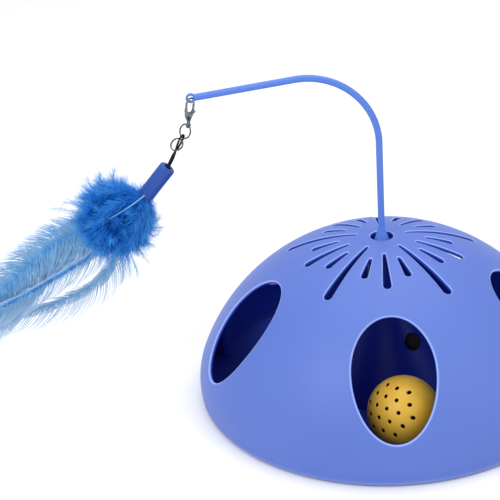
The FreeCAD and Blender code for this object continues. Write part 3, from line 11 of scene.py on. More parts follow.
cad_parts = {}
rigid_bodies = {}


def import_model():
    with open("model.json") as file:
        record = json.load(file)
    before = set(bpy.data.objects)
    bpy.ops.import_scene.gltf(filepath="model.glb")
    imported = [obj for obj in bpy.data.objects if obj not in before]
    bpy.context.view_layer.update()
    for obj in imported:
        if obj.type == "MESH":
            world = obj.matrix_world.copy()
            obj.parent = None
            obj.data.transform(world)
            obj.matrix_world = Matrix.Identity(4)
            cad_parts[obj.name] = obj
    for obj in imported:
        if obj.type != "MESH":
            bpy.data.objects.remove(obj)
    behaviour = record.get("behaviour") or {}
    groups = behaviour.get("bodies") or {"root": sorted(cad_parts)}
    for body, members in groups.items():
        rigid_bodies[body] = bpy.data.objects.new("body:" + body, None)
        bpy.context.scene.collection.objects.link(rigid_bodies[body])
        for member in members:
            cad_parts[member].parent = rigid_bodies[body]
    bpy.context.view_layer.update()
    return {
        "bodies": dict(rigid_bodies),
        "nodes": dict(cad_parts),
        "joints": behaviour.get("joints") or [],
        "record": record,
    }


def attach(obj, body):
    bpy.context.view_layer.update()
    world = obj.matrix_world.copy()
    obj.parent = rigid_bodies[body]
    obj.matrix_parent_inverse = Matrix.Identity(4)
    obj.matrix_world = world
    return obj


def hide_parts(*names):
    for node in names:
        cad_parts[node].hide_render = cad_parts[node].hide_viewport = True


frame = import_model()
mm = 0.001
zAxis = Vector((0, 0, 1))


# Shared helpers: places and meshes

def spot(radius, angle):
    return radius * math.cos(angle), radius * math.sin(angle)


def polar(radius, angle, height=0.0):
    return Vector((*spot(radius, angle), height))


def spin(degrees, axis):
    return Matrix.Rotation(math.radians(degrees), 4, axis)


def frameAt(shape):  # where a hanging piece is, leaned about Y and then turned about its own length
    return Matrix.Translation(shape["place"]) @ spin(shape["tilt"], "Y") @ spin(shape.get("turn", 0.0), "Z")


def linked(name, data):
    made = bpy.data.objects.new(name, data)
    bpy.context.scene.collection.objects.link(made)
    return made


def aimed(data, place, way, roll=0.0):  # a camera or a lamp at its place
    made = linked(data.name, data)
    turn = Vector(way).to_track_quat("-Z", "Y").to_matrix().to_4x4()
    made.matrix_world = Matrix.Translation(place) @ turn @ spin(-roll, "Z")
    return made


def meshObject(name, points, faces, edges=(), material=None):
    mesh = bpy.data.meshes.new(name)
    mesh.from_pydata([Vector(point) * mm for point in points], edges, faces)
    if material:
        mesh.materials.append(material)
    return linked(name, mesh)


def outward(mesh):
    work = bmesh.new()
    work.from_mesh(mesh)
    bmesh.ops.recalc_face_normals(work, faces=work.faces)
    work.to_mesh(mesh)
    work.free()
    mesh.shade_smooth()


def crisp(mesh, degrees=38):  # flat faces stay crisp where they meet at more than this angle
    mesh.set_sharp_from_angle(angle=math.radians(degrees))


def joinedPieces(name, pieces, finish):
    points, faces = [], []
    for part, sides in pieces:
        base = len(points)
        points += part
        faces += [tuple(base + i for i in side) for side in sides]
    made = meshObject(name, points, faces, material=materials[finish])
    outward(made.data)
    return made


def prism(outline, ends, turn=Matrix()):  # an outline of points drawn out between two offsets
    count = len(outline)
    sides = [(i, (i + 1) % count, (i + 1) % count + count, i + count) for i in range(count)]
    points = [turn @ (point + end) for end in ends for point in outline]
    return points, [tuple(range(count)), tuple(range(count, 2 * count)), *sides]


def hand(piece, body, finish, *nodes):  # a finished piece rides on its body and stands for its nodes
    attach(piece, body)
    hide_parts(*nodes)
    print(piece.name, "made:", len(piece.data.polygons), "faces")


def lathe(profile, steps, axis=Matrix()):  # a closed profile of (radius, height) turned round the axis
    points, faces, rows = [], [], []
    for radius, height in profile:
        pole = radius < 1e-6
        rows.append([len(points) + (0 if pole else i) for i in range(steps)])
        points += [axis @ polar(radius, 2 * math.pi * i / steps, height) for i in range(1 if pole else steps)]
    for first, second in zip(rows, rows[1:] + rows[:1]):
        for i in range(steps):
            k = (i + 1) % steps
            corner = list(dict.fromkeys((first[i], first[k], second[k], second[i])))
            if len(corner) > 2:
                faces.append(corner)
    return points, faces


def rounded(start, corner, end, radius, steps):  # the fillet's points between two straight runs
    corner = Vector(corner)
    before, after = Vector(start) - corner, Vector(end) - corner
    half = before.angle(after) / 2
    reach = min(radius / math.tan(half), before.length * 0.5, after.length * 0.5)
    radius = reach * math.tan(half)
    middle = corner + (before.normalized() + after.normalized()).normalized() * radius / math.sin(half)
    first = corner + before.normalized() * reach - middle
    last = corner + after.normalized() * reach - middle
    return [tuple(middle + first.slerp(last, i / steps).normalized() * radius) for i in range(steps + 1)]


def softened(corners, radii, steps=4):  # a closed profile with each corner rounded by its own radius
    result = []
    for i, corner in enumerate(corners):
        following = corners[(i + 1) % len(corners)]
        result += rounded(corners[i - 1], corner, following, radii[i], steps) if radii[i] > 0 else [corner]
    return result


# Shared helpers: nodes

def addNode(tree, kind, inputs=None, **options):  # a list feeds one input with several links
    families = ("GeometryNode", "ShaderNode", "FunctionNode", "Node")
    node = tree.nodes.new(next(family + kind for family in families if hasattr(bpy.types, family + kind)))
    for key, value in options.items():
        setattr(node, key, value)
    for key, value in (inputs or {}).items():
        for part in value if isinstance(value, list) else [value]:
            if isinstance(part, bpy.types.NodeSocket):
                tree.links.new(part, node.inputs[key])
            else:
                node.inputs[key].default_value = part
    return node.outputs


def calc(add, operation, *values, **options):
    return add("Math", dict(enumerate(values)), operation=operation, **options)[0]


def remap(add, value, source=(0.0, 1.0), target=(0.0, 1.0)):
    return add("MapRange", {"Value": value, "From Min": source[0], "From Max": source[1],
                            "To Min": target[0], "To Max": target[1]})[0]


def shifted(add, vector, *steps):
    for step in steps:
        vector = add("VectorMath", {0: vector, 1: step}, operation="ADD")[0]
    return vector


def scaled(add, vector, factor):
    return add("VectorMath", {0: vector, "Scale": factor}, operation="SCALE")[0]


# sockets with these words hold lengths, which grown() takes in millimetres
lengthWords = ("Length", "Radius", "Width", "Size", "Reach", "Spacing", "Distance")


def newTree(name, **sockets):  # the labels of each kind of socket
    tree = bpy.data.node_groups.new(name, "GeometryNodeTree")
    for kind, labels in {"Geometry": ["Geometry"], **sockets, "Material": ["Material"]}.items():
        for label in labels:
            tree.interface.new_socket(label, in_out="INPUT", socket_type="NodeSocket" + kind)
    tree.interface.new_socket("Geometry", in_out="OUTPUT", socket_type="NodeSocketGeometry")
    return tree, partial(addNode, tree), addNode(tree, "GroupInput")


def closeTree(add, geometry, material):  # every tree ends realized and with its material
    realized = add("RealizeInstances", {0: geometry})[0]
    finished = add("SetMaterial", {"Geometry": realized, "Material": material})[0]
    add("GroupOutput", {0: finished})


def grown(name, source, tree, finish, values):  # the tree's result as a plain mesh object; the source goes
    modifier = source.modifiers.new(tree.name, "NODES")
    modifier.node_group = tree
    values = {**values, "Material": materials[finish]}
    for item in tree.interface.items_tree:
        if item.in_out == "INPUT" and item.name in values:
            value = values[item.name]
            modifier[item.identifier] = value * mm if item.name.endswith(lengthWords) else value
    bpy.context.view_layer.update()
    graph = bpy.context.evaluated_depsgraph_get()
    mesh = bpy.data.meshes.new_from_object(source.evaluated_get(graph), depsgraph=graph)
    mesh.name = name
    bpy.data.objects.remove(source)
    return linked(name, mesh)


# Camera at the photograph's viewing angle
cameraSet = {"place": (-37.29, -737.09, 452.41), "way": (-0.05021, 0.89794, -0.43724), "roll": 4.289,
             "lens": 99.14, "sensor": 36.0, "near": 0.02, "far": 30.0}


def addCamera(values):
    data = bpy.data.cameras.new("camera")
    data.lens = values["lens"]
    data.sensor_width = values["sensor"]
    data.clip_start = values["near"]
    data.clip_end = values["far"]
    bpy.context.scene.camera = aimed(data, Vector(values["place"]) * mm, values["way"], values["roll"])


addCamera(cameraSet)
print("camera set")


# Lure: where it hangs, and the middle of its puff
lureFrame = frameAt({"place": (-122.265, 0.0, 149.698), "tilt": 40.8})
puffMiddle = Vector((-5.5, 0, -45.5))


# Materials: one function for moulded, turned and plated finishes, one for feathers

def linear(code):  # "#rrggbb" to linear light
    parts = [int(code[i:i + 2], 16) / 255 for i in (1, 3, 5)]
    return tuple(c / 12.92 if c <= 0.04045 else ((c + 0.055) / 1.055) ** 2.4 for c in parts) + (1.0,)


def mixed(add, share, first, second):  # colours as codes or sockets
    ends = [linear(end) if isinstance(end, str) else end for end in (first, second)]
    return add("Mix", {0: share, 6: ends[0], 7: ends[1]}, data_type="RGBA")[2]


def noise(add, place, size, detail, roughness=0.5):
    return add("TexNoise", {"Vector": place, "Scale": 1 / (size * mm), "Detail": detail,
                            "Roughness": roughness})["Fac"]


def newMaterial(name):
    material = bpy.data.materials.new(name)
    material.use_nodes = True
    add = partial(addNode, material.node_tree)
    return material, add, add("TexCoord")["Object"]


def surface(material, add, colour, rough, height, bump, gloss):  # bump: strength and depth
    links = material.node_tree.links
    shader = material.node_tree.nodes["Principled BSDF"].inputs
    relief = add("Bump", {"Height": height, "Strength": bump[0], "Distance": bump[1] * mm})[0]
    for socket, key in ((colour, "Base Color"), (rough, "Roughness"), (relief, "Normal")):
        links.new(socket, shader[key])
    shader["Specular IOR Level"].default_value = gloss
    return shader


def finished(name, colours, cloudSize, grainSize, rough, bump=0.2, gloss=0.5, metal=False, **marked):
    material, add, place = newMaterial(name)
    colour = mixed(add, noise(add, place, cloudSize, 3.0), *colours)
    for attribute, tint in marked.items():  # painted shade on the inside and painted highlight on the rounded edges, each mixed in by its attribute
        where = add("Attribute", attribute_name=attribute)["Fac"]
        colour = mixed(add, where, colour, tint)
    grain = noise(add, place, grainSize, 4.0, 0.6)
    shader = surface(material, add, colour, remap(add, grain, (0.3, 0.7), rough), grain,
                     (bump, grainSize * 0.12), gloss)
    shader["Metallic"].default_value = float(metal)
    if not metal:
        shader["IOR"].default_value = 1.5
    return material


materials = {  # two colours that cloud over each other, the size of cloud and grain, roughness, bump, gloss
    # painted shade on the dome's inner sheet and hole walls, painted highlight on the rounded edges of ports,
    # slots, top hole and rim
    "dome": finished("abs_moulded_satin", ("#5771c4", "#5e78ca"), 60, 0.45, (0.4, 0.5), 0.12, 0.32,
                     inner="#2240b4", edge="#9ab2fa"),  # soft broad shine
    # fine spark-eroded grain
    "tray": finished("abs_moulded_matt", ("#2138a0", "#263ea8"), 50, 0.5, (0.5, 0.62), 0.25, 0.25),
    # dark, with a low sheen
    "hub": finished("abs_moulded_deep", ("#0f2496", "#142a9e"), 40, 0.4, (0.36, 0.48), 0.15, 0.22),
    # a waxy line of light along it
    "wand": finished("nylon_moulded", ("#4d76d4", "#547dd8"), 30, 0.3, (0.34, 0.44), 0.1),
    # even, slightly rubbery
    "ferrule": finished("pvc_sleeve", ("#264b9f", "#2b51a5"), 8, 0.25, (0.4, 0.52), 0.15, 0.35),
    # painted shade inside the ball's holes and on its inner sheet, painted highlight on the hole edges and
    # lip
    "ball": finished("polypropylene_moulded", ("#cf9f28", "#d8ae3c"), 5, 0.35, (0.36, 0.5), 0.2, 0.4,
                     inner="#2c1a06", edge="#dcb04c"),  # mottled
    # black, hardly shines
    "button": finished("silicone_moulded", ("#03040f", "#060816"), 4, 0.25, (0.5, 0.65), 0.3, 0.2),
    # black with a dull shine
    "switch": finished("nylon_black", ("#101113", "#1a1b1e"), 3, 0.2, (0.4, 0.55), 0.3),
    # green lacquer over a weave
    "board": finished("glass_epoxy_board", ("#1c4a2c", "#235a36"), 2, 0.15, (0.3, 0.45)),
    # undyed, a little yellow
    "works": finished("abs_natural", ("#c9c9c7", "#d4d3cf"), 20, 0.4, (0.42, 0.55)),
    # milky and slick
    "gear": finished("acetal_white", ("#e4e2d8", "#efede4"), 6, 0.2, (0.32, 0.44), 0.15),
    # dark and evenly glossy
    "cell": finished("printed_foil_sleeve", ("#2d2e33", "#393a40"), 15, 0.3, (0.25, 0.35), 0.1),
    # dusty matt black
    "rubber": finished("rubber_moulded", ("#1b1b1e", "#242428"), 5, 0.3, (0.75, 0.9), 0.5),
    # grey, a little cloudy
    "steel": finished("steel_zinc_plated", ("#9fa0a4", "#b4b5b8"), 4, 0.12, (0.22, 0.36), metal=True),
    # warmer and brighter than the screws
    "spring_steel": finished("spring_steel_nickel_plated", ("#a9a8a4", "#bdbcb6"), 4, 0.12, (0.2, 0.34),
                             metal=True),
    # yellow, with fine turning marks
    "brass": finished("brass_turned", ("#c9a25a", "#d8b46c"), 3, 0.12, (0.2, 0.35), metal=True),
    # painted reflections: dark and bright patches in the plated base colour
    "chrome": finished("zinc_die_cast_plated", ("#3c3e44", "#9da0a8"), 1.6, 0.3, (0.08, 0.2), 0.05,
                       metal=True),
    # painted reflections: dark lines with painted glints in the base colour
    "ring_wire": finished("wire_gunmetal_plated", ("#141519", "#8d9097"), 1.1, 0.3, (0.1, 0.22), 0.05,
                          metal=True),
    # black, fibres too fine to see
    "cord": finished("nylon_twisted_cord", ("#08080a", "#131316"), 0.6, 0.12, (0.75, 0.92), 0.6),
}


def feathered(name, deep, light, ripe, cloudSize=7.0, rough=(0.5, 0.7), gloss=0.3, fringe=None):
    material, add, place = newMaterial(name)
    strand = noise(add, place, 0.7, 2.0)
    tip = add("Attribute", attribute_name="tip")["Fac"]
    patch = remap(add, noise(add, place, cloudSize, 4.0), (0.34, 0.66))
    # the root colours, also on the shaft, are dye and partly painted shade inside the feathers; the tip
    # colours are dye and partly painted light through thin barbs
    colour = mixed(add, remap(add, tip, ripe), mixed(add, patch, *deep), mixed(add, strand, *light))
    if fringe:  # painted light: outer barbs paler with distance from the puff's middle, standing for light through thin barbs
        far = add("VectorMath", {0: place, 1: lureFrame @ puffMiddle * mm}, operation="DISTANCE")["Value"]
        thin = remap(add, far, (fringe["from"] * mm, fringe["to"] * mm))
        colour = mixed(add, thin, colour, fringe["colour"])
    surface(material, add, colour, remap(add, strand, target=rough), strand, (0.3, 0.05), gloss)
    return material


materials.update({  # dyed cock feathers: two colours at the barbs' roots, two paler ones from root to tip; the darker roots are partly painted shade and the paler tips partly painted light through thin barbs
    "hackle": feathered("hackle_dyed", ("#4f9adb", "#4389cc"), ("#74b8f0", "#9ccdf8"), (0.02, 0.3)),
    "hackle_pale": feathered("hackle_dyed_pale", ("#84bcea", "#6cacdf"), ("#a9d0f3", "#cbe2f8"), (0.02, 0.8)),
    "hackle_deep": feathered("hackle_dyed_deep", ("#3c8cdc", "#1f66bc"), ("#68a8e2", "#a8c8ec"), (0.3, 1.0)),
    # down: painted light on the outer barbs by distance from the puff's middle
    "down": feathered("down_dyed", ("#008afc", "#0050d0"), ("#0492fb", "#2cb0fc"), (0.3, 1.0), 5.5,
                      (0.75, 0.9), 0.02, {"colour": "#62bcf8", "from": 18.0, "to": 28.0}),
})

for entry in frame["record"]["subparts"]:
    data = frame["nodes"][entry["node"]].data
    data.materials.clear()
    data.materials.append(materials[entry["material_slot"]])
print("materials made")


# Geometry Nodes: repeat a piece round an axis

def repeatTree():
    tree, add, given = newTree("repeatRound", Int=["Count"], Vector=["Turn"], Float=["Merge Distance"])
    seats = add("MeshLine", {"Count": given["Count"], "Offset": (0, 0, 0)}, mode="OFFSET")[0]
    turn = scaled(add, given["Turn"], add("InputIndex")[0])
    rotation = add("EulerToRotation", {0: turn})[0]
    copies = add("InstanceOnPoints", {"Points": seats, "Instance": given["Geometry"],
                                      "Rotation": rotation})[0]
    whole = add("RealizeInstances", {0: copies})[0]
    welded = add("MergeByDistance", {"Geometry": whole, "Distance": given["Merge Distance"]})[0]
    closeTree(add, welded, given["Material"])
    return tree


repeatRound = repeatTree()


# Pierced shells: a curved skin of even wall with rounded holes cut along straight lines
cutting = {"tries": 30, "shaded": 0.4, "cell": 4, "roomy": 1.0, "thinnest": 1e-3, "join": 1e-6}


def inLoop(loop, x, y):
    inside = False
    for (xi, yi), (xj, yj) in zip(loop, loop[-1:] + loop[:-1]):
        if (yi > y) != (yj > y) and x < (xj - xi) * (y - yi) / (yj - yi) + xi:
            inside = not inside
    return inside


class PiercedShell:  # skin measures from the surface; flat unrolls a point and place rolls it back
    def __init__(self, skin, flat, place, wall):
        self.skin, self.flat, self.place, self.wall = skin, flat, place, wall
        self.points, self.faces, self.edge, self.inner = [], [], [], []
        self.loops, self.free = ([], []), ([], [])

    def add(self, point, edge=0.0, depth=0.0):
        self.points.append(point)
        # painted highlight share for the rounded outer edges
        self.edge.append(edge)
        # painted shade: the share grows with depth into the hole walls and is full on the inner sheet and
        # bosses
        self.inner.append(min(1.0, depth / (cutting["shaded"] * self.wall)))
        return len(self.points) - 1

    def hit(self, start, way, reach, depth):  # where the line meets the skin at that depth
        low, high = reach
        for _ in range(cutting["tries"]):
            middle = (low + high) / 2
            if self.skin(start + way * middle) + depth < 0:
                low = middle
            else:
                high = middle
        return start + way * low

    def row(self, hole, offset, depth, skip=1):
        return [self.hit(point + normal * offset, hole["way"], hole["reach"], depth)
                for point, normal in hole["loop"][::skip]]

    def strip(self, first, second, closed=True):
        count = len(first)
        for i in range(count if closed else count - 1):
            k = (i + 1) % count
            self.faces.append((first[i], first[k], second[k], second[i]))

    def band(self, rows, closed=True):  # rows of (points, painted highlight, depth) become strips of faces
        numbered = [[self.add(point, edge, depth) for point in row] for row, edge, depth in rows]
        for first, second in zip(numbered, numbered[1:]):
            self.strip(first, second, closed)
        return numbered

    def walls(self, hole, closed=True):  # from the outer skin, round both edges, to the inner skin
        rows = []
        for side, radius in enumerate(hole["rounds"]):
            for i in range(hole["steps"] + 1):
                angle = math.pi / 2 * (1 - i / hole["steps"] if side else i / hole["steps"])
                sunk = radius * (1 - math.cos(angle))
                depth = self.wall - sunk if side else sunk
                # painted highlight, strongest halfway round the outer rounded edge
                paintedShine = 0.0 if side else math.sin(2 * angle)
                rows.append((self.row(hole, radius * (1 - math.sin(angle)), depth), paintedShine, depth))
        return self.band(rows, closed)

    def pierce(self, hole):
        spread = [self.row(hole, hole["rounds"][side] + hole["margin"], self.wall * side, hole["skip"])
                  for side in (0, 1)]
        numbered = self.walls(hole)
        for side in (0, 1):
            self.loops[side].append(numbered[-side])
            self.free[side].extend((*self.flat(point), hole["room"]) for point in spread[side])

    def sheet(self, border, side, core):
        # border holds point numbers; each free flat place gets a new point unless it is crowded or cut away
        depth = self.wall * side
        every = [border] + self.loops[side]
        numbers = [i for ring in every for i in ring]
        coords = [self.flat(self.points[i]) for i in numbers]
        edges, holes, start = [], [], 0
        for ring in every:
            edges += [(start + i, start + (i + 1) % len(ring)) for i in range(len(ring))]
            loop = coords[start:start + len(ring)]
            xs, ys = zip(*loop)
            holes.append((loop, min(xs), max(xs), min(ys), max(ys)))
            start += len(ring)

        def cutAway(x, y):
            return any(west < x < east and south < y < north and inLoop(loop, x, y)
                       for loop, west, east, south, north in holes[1:])

        near = {}
        for x, y in coords:
            near.setdefault((int(x // cutting["cell"]), int(y // cutting["cell"])), []).append((x, y))
        for x, y, room in self.free[side]:
            cell = (int(x // cutting["cell"]), int(y // cutting["cell"]))
            around = [near.get((cell[0] + i, cell[1] + j), ()) for i in (-1, 0, 1) for j in (-1, 0, 1)]
            close = [p for places in around for p in places]
            if any((p[0] - x) ** 2 + (p[1] - y) ** 2 < room * room for p in close) or cutAway(x, y):
                continue
            if room > cutting["roomy"]:
                near.setdefault(cell, []).append((x, y))
            coords.append((x, y))
            numbers.append(self.add(self.place(math.hypot(x, y), math.atan2(y, x), depth), 0.0, depth))
        found = delaunay_2d_cdt([Vector(c) for c in coords], edges, [], 0, cutting["join"])
        for face in found[2]:
            ids = [found[3][i][0] for i in face]
            (ax, ay), (bx, by), (cx, cy) = [coords[i] for i in ids]
            x, y = (ax + bx + cx) / 3, (ay + by + cy) / 3
            area = abs((bx - ax) * (cy - ay) - (by - ay) * (cx - ax))
            if area >= cutting["thinnest"] and math.hypot(x, y) >= core and not cutAway(x, y):
                self.faces.append(tuple(numbers[i] for i in ids))

    def attach(self, points, faces):
        base = len(self.points)
        for point in points:
            self.add(point, 0.0, self.wall)
        self.faces += [tuple(base + i for i in face) for face in faces]

    def build(self, name, finish, count, turn, merge):  # the piece repeated round its axis
        made = meshObject(name + "_part", self.points, self.faces)
        for attribute, values in (("edge", self.edge), ("inner", self.inner)):
            made.data.attributes.new(attribute, "FLOAT", "POINT").data.foreach_set("value", values)
        whole = grown(name, made, repeatRound, finish,
                      {"Count": count, "Turn": turn, "Merge Distance": merge})
        outward(whole.data)
        return whole


# Dome shell: crown, shoulder and lower arcs turned round the axis
domeShape = {"radius": 115.0, "height": 99.0, "shoulder": 38.95, "low": 36.0, "girth": 8.8, "wall": 2.5,
             "topHole": 6.85, "topRounds": (0.8, 0.3), "topParts": 12, "rimParts": 72, "rimHighlight": 0.4,
             "count": 5, "start": -27.0, "turn": -90.0, "spacing": 2.6, "room": 0.55, "gap": 0.01,
             "rim": [(114.283, 1.65), (114.14, 1.35), (114.0, 1.22), (113.7, 1.2), (112.1, 1.2),
                     (111.8, 1.23), (111.68, 1.35), (111.728, 1.65)]}
portShape = {"reach": 92.0, "height": 55.4, "tilt": 36.1, "half": 23.3, "middle": 3.2, "upper": 32.0,
             "lower": 38.4, "points": 168}
portCut = {"reach": (-45.0, 60.0), "rounds": (1.4, 0.5), "steps": 4, "margin": 1.3, "skip": 1, "room": 0.7}
slotShapes = [  # bearing, inner end, outer end, inner and outer half width
    (0.0, 20.6, 48.6, 0.9, 2.4), (-18.0, 25.6, 41.9, 1.0, 2.05), (18.0, 25.6, 41.9, 1.0, 2.05),
    (36.0, 15.1, 59.4, 0.9, 2.7)]
slotCut = {"way": zAxis, "reach": (-10.0, 60.0), "rounds": (0.7, 0.3), "steps": 3, "margin": 0.8, "skip": 2,
           "room": 0.7, "level": 60, "pace": 1.6}
bossShape = {"reach": 105.5, "bearing": 36.0, "rounds": [0, 0.3, 0.4, 0, 0, 0],
             "profile": [(1.33, 4.5), (3.4, 4.5), (3.4, 22.5), (0, 22.5), (0, 13.3), (1.33, 13.3)],
             "web": [(106.0, 4.5), (112.6, 4.5), (112.2, 22.5), (106.0, 22.5)], "webHalf": 1.0}


def domeArcs(shape):  # centre radius, centre height, arc radius and end angle of each arc, from the axis down
    span = shape["radius"] - shape["shoulder"]
    rise = shape["height"] - shape["girth"]
    crown = (span * span + rise * rise - shape["shoulder"] ** 2) / (2 * (rise - shape["shoulder"]))
    middle = shape["height"] - crown
    meet = math.atan2(span, shape["girth"] - middle)
    return [(0.0, middle, crown, meet), (span, shape["girth"], shape["shoulder"], math.pi / 2),
            (shape["radius"] - shape["low"], shape["girth"], shape["low"], math.pi)]


arcs = domeArcs(domeShape)


def domeZone(point):  # how far outside the dome, and how far down its outline
    radius, height = math.hypot(point[0], point[1]), point[2]
    along, begin = 0.0, 0.0
    for centre, level, size, end in arcs:
        angle = math.atan2(radius - centre, height - level)
        if angle <= end:
            return math.hypot(radius - centre, height - level) - size, along + size * (angle - begin)
        along += size * (end - begin)
        begin = end
    return 1.0, along


def domeFlat(point):
    return spot(domeZone(point)[1], math.atan2(point[1], point[0]))


def domePlace(along, angle, depth):
    begin = 0.0
    for centre, level, size, end in arcs:
        if along <= size * (end - begin) or end == math.pi:
            turn = begin + along / size
            sunk = size - depth
            return polar(centre + sunk * math.sin(turn), angle, level + sunk * math.cos(turn))
        along -= size * (end - begin)
        begin = end


def portLoop(port):
    turn = spin(-port["tilt"], "Y").to_3x3()
    centre = Vector((port["reach"], 0, port["height"]))
    loop = []
    for i in range(port["points"]):
        angle = 2 * math.pi * i / port["points"]
        high = port["upper"] if math.sin(angle) > 0 else port["lower"]
        point = Vector((0, port["half"] * math.cos(angle), port["middle"] + high * math.sin(angle)))
        normal = Vector((0, high * math.cos(angle), port["half"] * math.sin(angle))).normalized()
        loop.append((centre + turn @ point, turn @ normal))
    return {"loop": loop, "way": turn.col[0].copy(), **portCut}


def slotLoop(bearing, start, end, narrow, wide):
    near, far = start + narrow, end - wide
    lean = math.asin((wide - narrow) / (far - near))
    turn = spin(bearing, "Z").to_3x3()
    ends = []
    for reach, radius, side, parts in ((near, narrow, 1, 12), (far, wide, -1, 14)):
        for i in range(parts + 1):
            normal = polar(1.0, side * (math.pi / 2 + lean) + (math.pi - 2 * side * lean) * i / parts)
            ends.append((Vector((reach, 0, slotCut["level"])) + normal * radius, normal))
    loop = []
    for (point, normal), (following, _) in zip(ends, ends[1:] + ends[:1]):
        parts = max(1, int((following - point).length / slotCut["pace"]))
        loop += [(turn @ point.lerp(following, k / parts), turn @ normal) for k in range(parts)]
    return {"loop": loop, **slotCut}


def buildDome(shape, boss):
    shell = PiercedShell(lambda point: domeZone(point)[0], domeFlat, domePlace, shape["wall"])
    begin = math.radians(shape["start"])
    sweep = 2 * math.pi / shape["count"]
    for hole in [portLoop(portShape)] + [slotLoop(*slot) for slot in slotShapes]:
        shell.pierce(hole)

    def around(parts):
        return [begin + sweep * i / parts for i in range(parts + 1)]

    def inSector(place):
        return shape["gap"] < math.atan2(place[1], place[0]) - begin < sweep - shape["gap"]

    level = slotCut["level"]
    topLoop = [(polar(shape["topHole"], a, level), polar(1.0, a)) for a in around(shape["topParts"])]
    top = shell.walls({**slotCut, "loop": topLoop, "rounds": shape["topRounds"], "steps": 4}, closed=False)
    # the bottom rim rows carry a painted highlight
    rim = shell.band([([polar(r, a, z) for a in around(shape["rimParts"])], shape["rimHighlight"], 0.0)
                      for r, z in shape["rim"]], closed=False)
    for side in (0, 1):
        depth = shape["wall"] * side
        first, last = [domeZone(shell.points[row[0]])[1] for row in (top[-side], rim[-side])]
        parts = round((last - first) / shape["spacing"])
        alongs = [first + (last - first) * i / parts for i in range(1, parts)]
        left, right = [[shell.add(domePlace(along, begin + turn, depth), 0.0, depth) for along in alongs]
                       for turn in (0, sweep)]
        grid = []
        for row, along in enumerate(alongs):
            radius = math.hypot(*domePlace(along, 0, depth)[:2])
            count = max(2, round(sweep * radius / shape["spacing"]))
            for i in range(1, count + 1):
                angle = begin + sweep * (i - (0.5 if row % 2 else 0.0)) / count
                grid.append((*spot(along, angle), shape["spacing"] * shape["room"]))
        shell.free[side][:] = [place for place in shell.free[side] + grid if inSector(place)]
        shell.sheet(top[-side] + right + rim[-side][::-1] + left[::-1], side, first)
    # screw boss with its pilot hole, and the web that ties it to the wall
    turn = spin(boss["bearing"], "Z")
    shell.attach(*lathe(softened(boss["profile"], boss["rounds"], 2), 28,
                        turn @ Matrix.Translation((boss["reach"], 0, 0))))
    half = Vector((0, boss["webHalf"], 0))
    shell.attach(*prism([Vector((x, 0, z)) for x, z in boss["web"]], (-half, half), turn))
    dome = shell.build("domeShell", "dome", shape["count"], (0, 0, sweep), 0.004)
    dome.data.transform(spin(shape["turn"], "Z"))
    hand(dome, "base", "dome", "dome_shell")


buildDome(domeShape, bossShape)


# Ball: two pierced half shells that meet in a fine groove
ballShape = {"radius": 21.0, "wall": 1.6, "place": (5.79, -76.98, 24.3), "poleTurn": -127.4, "poleLean": 55.9,
             "poleSpin": 88.8, "pitch": 7.12, "hole": 1.12, "rows": 2, "spacing": 1.5, "room": 0.55,
             "steps": 120, "lip": [(20.992, 0.35), (20.93, 0.12), (20.75, 0.0), (19.4, 0.0)], "lipHighlight": 0.3}
ballCut = {"way": zAxis, "reach": (0.0, 25.0), "rounds": (0.35, 0.15), "steps": 3, "margin": 0.5, "skip": 2,
           "room": 0.3}


def circlePlaces(steps):
    return [2 * math.pi * i / steps for i in range(steps)]


def buildBall(shape):
    size = shape["radius"]

    def flat(point):
        along = size * math.atan2(math.hypot(point[0], point[1]), point[2])
        return spot(along, math.atan2(point[1], point[0]))

    def place(along, angle, depth):
        return polar((size - depth) * math.sin(along / size), angle, (size - depth) * math.cos(along / size))

    shell = PiercedShell(lambda point: point.length - size, flat, place, shape["wall"])
    reach = range(-shape["rows"], shape["rows"] + 1)
    for along, over in [(i, k) for i in reach for k in reach if abs(i + k) <= shape["rows"]]:
        centre = Vector((shape["pitch"] * (along + over / 2), shape["pitch"] * over * math.sqrt(0.75), 0))
        normals = [polar(1.0, angle) for angle in circlePlaces(20)]
        shell.pierce({"loop": [(centre + normal * shape["hole"], normal) for normal in normals], **ballCut})
    # the lip rows carry a painted highlight
    rim = shell.band([([polar(r, a, z) for a in circlePlaces(shape["steps"])], shape["lipHighlight"], 0.0)
                      for r, z in shape["lip"]])
    for side in (0, 1):
        last = math.hypot(*flat(shell.points[rim[-side][0]]))
        for row in range(1, int(last / shape["spacing"])):
            along = row * shape["spacing"]
            count = round(2 * math.pi * size * math.sin(along / size) / shape["spacing"])
            turns = [2 * math.pi * (i + 0.5 * (row % 2)) / count for i in range(count)]
            shell.free[side].extend((*spot(along, turn), shape["spacing"] * shape["room"]) for turn in turns)
        shell.sheet(rim[-side], side, -1.0)
    ball = shell.build("ball", "ball", 2, (math.pi, 0, 0), 0.001)
    turn = spin(shape["poleTurn"], "Z") @ spin(shape["poleLean"], "Y") @ spin(shape["poleSpin"], "Z")
    ball.data.transform(Matrix.Translation(Vector(shape["place"]) * mm) @ turn)
    hand(ball, "ball", "ball", "ball_front_half", "ball_back_half")


buildBall(ballShape)


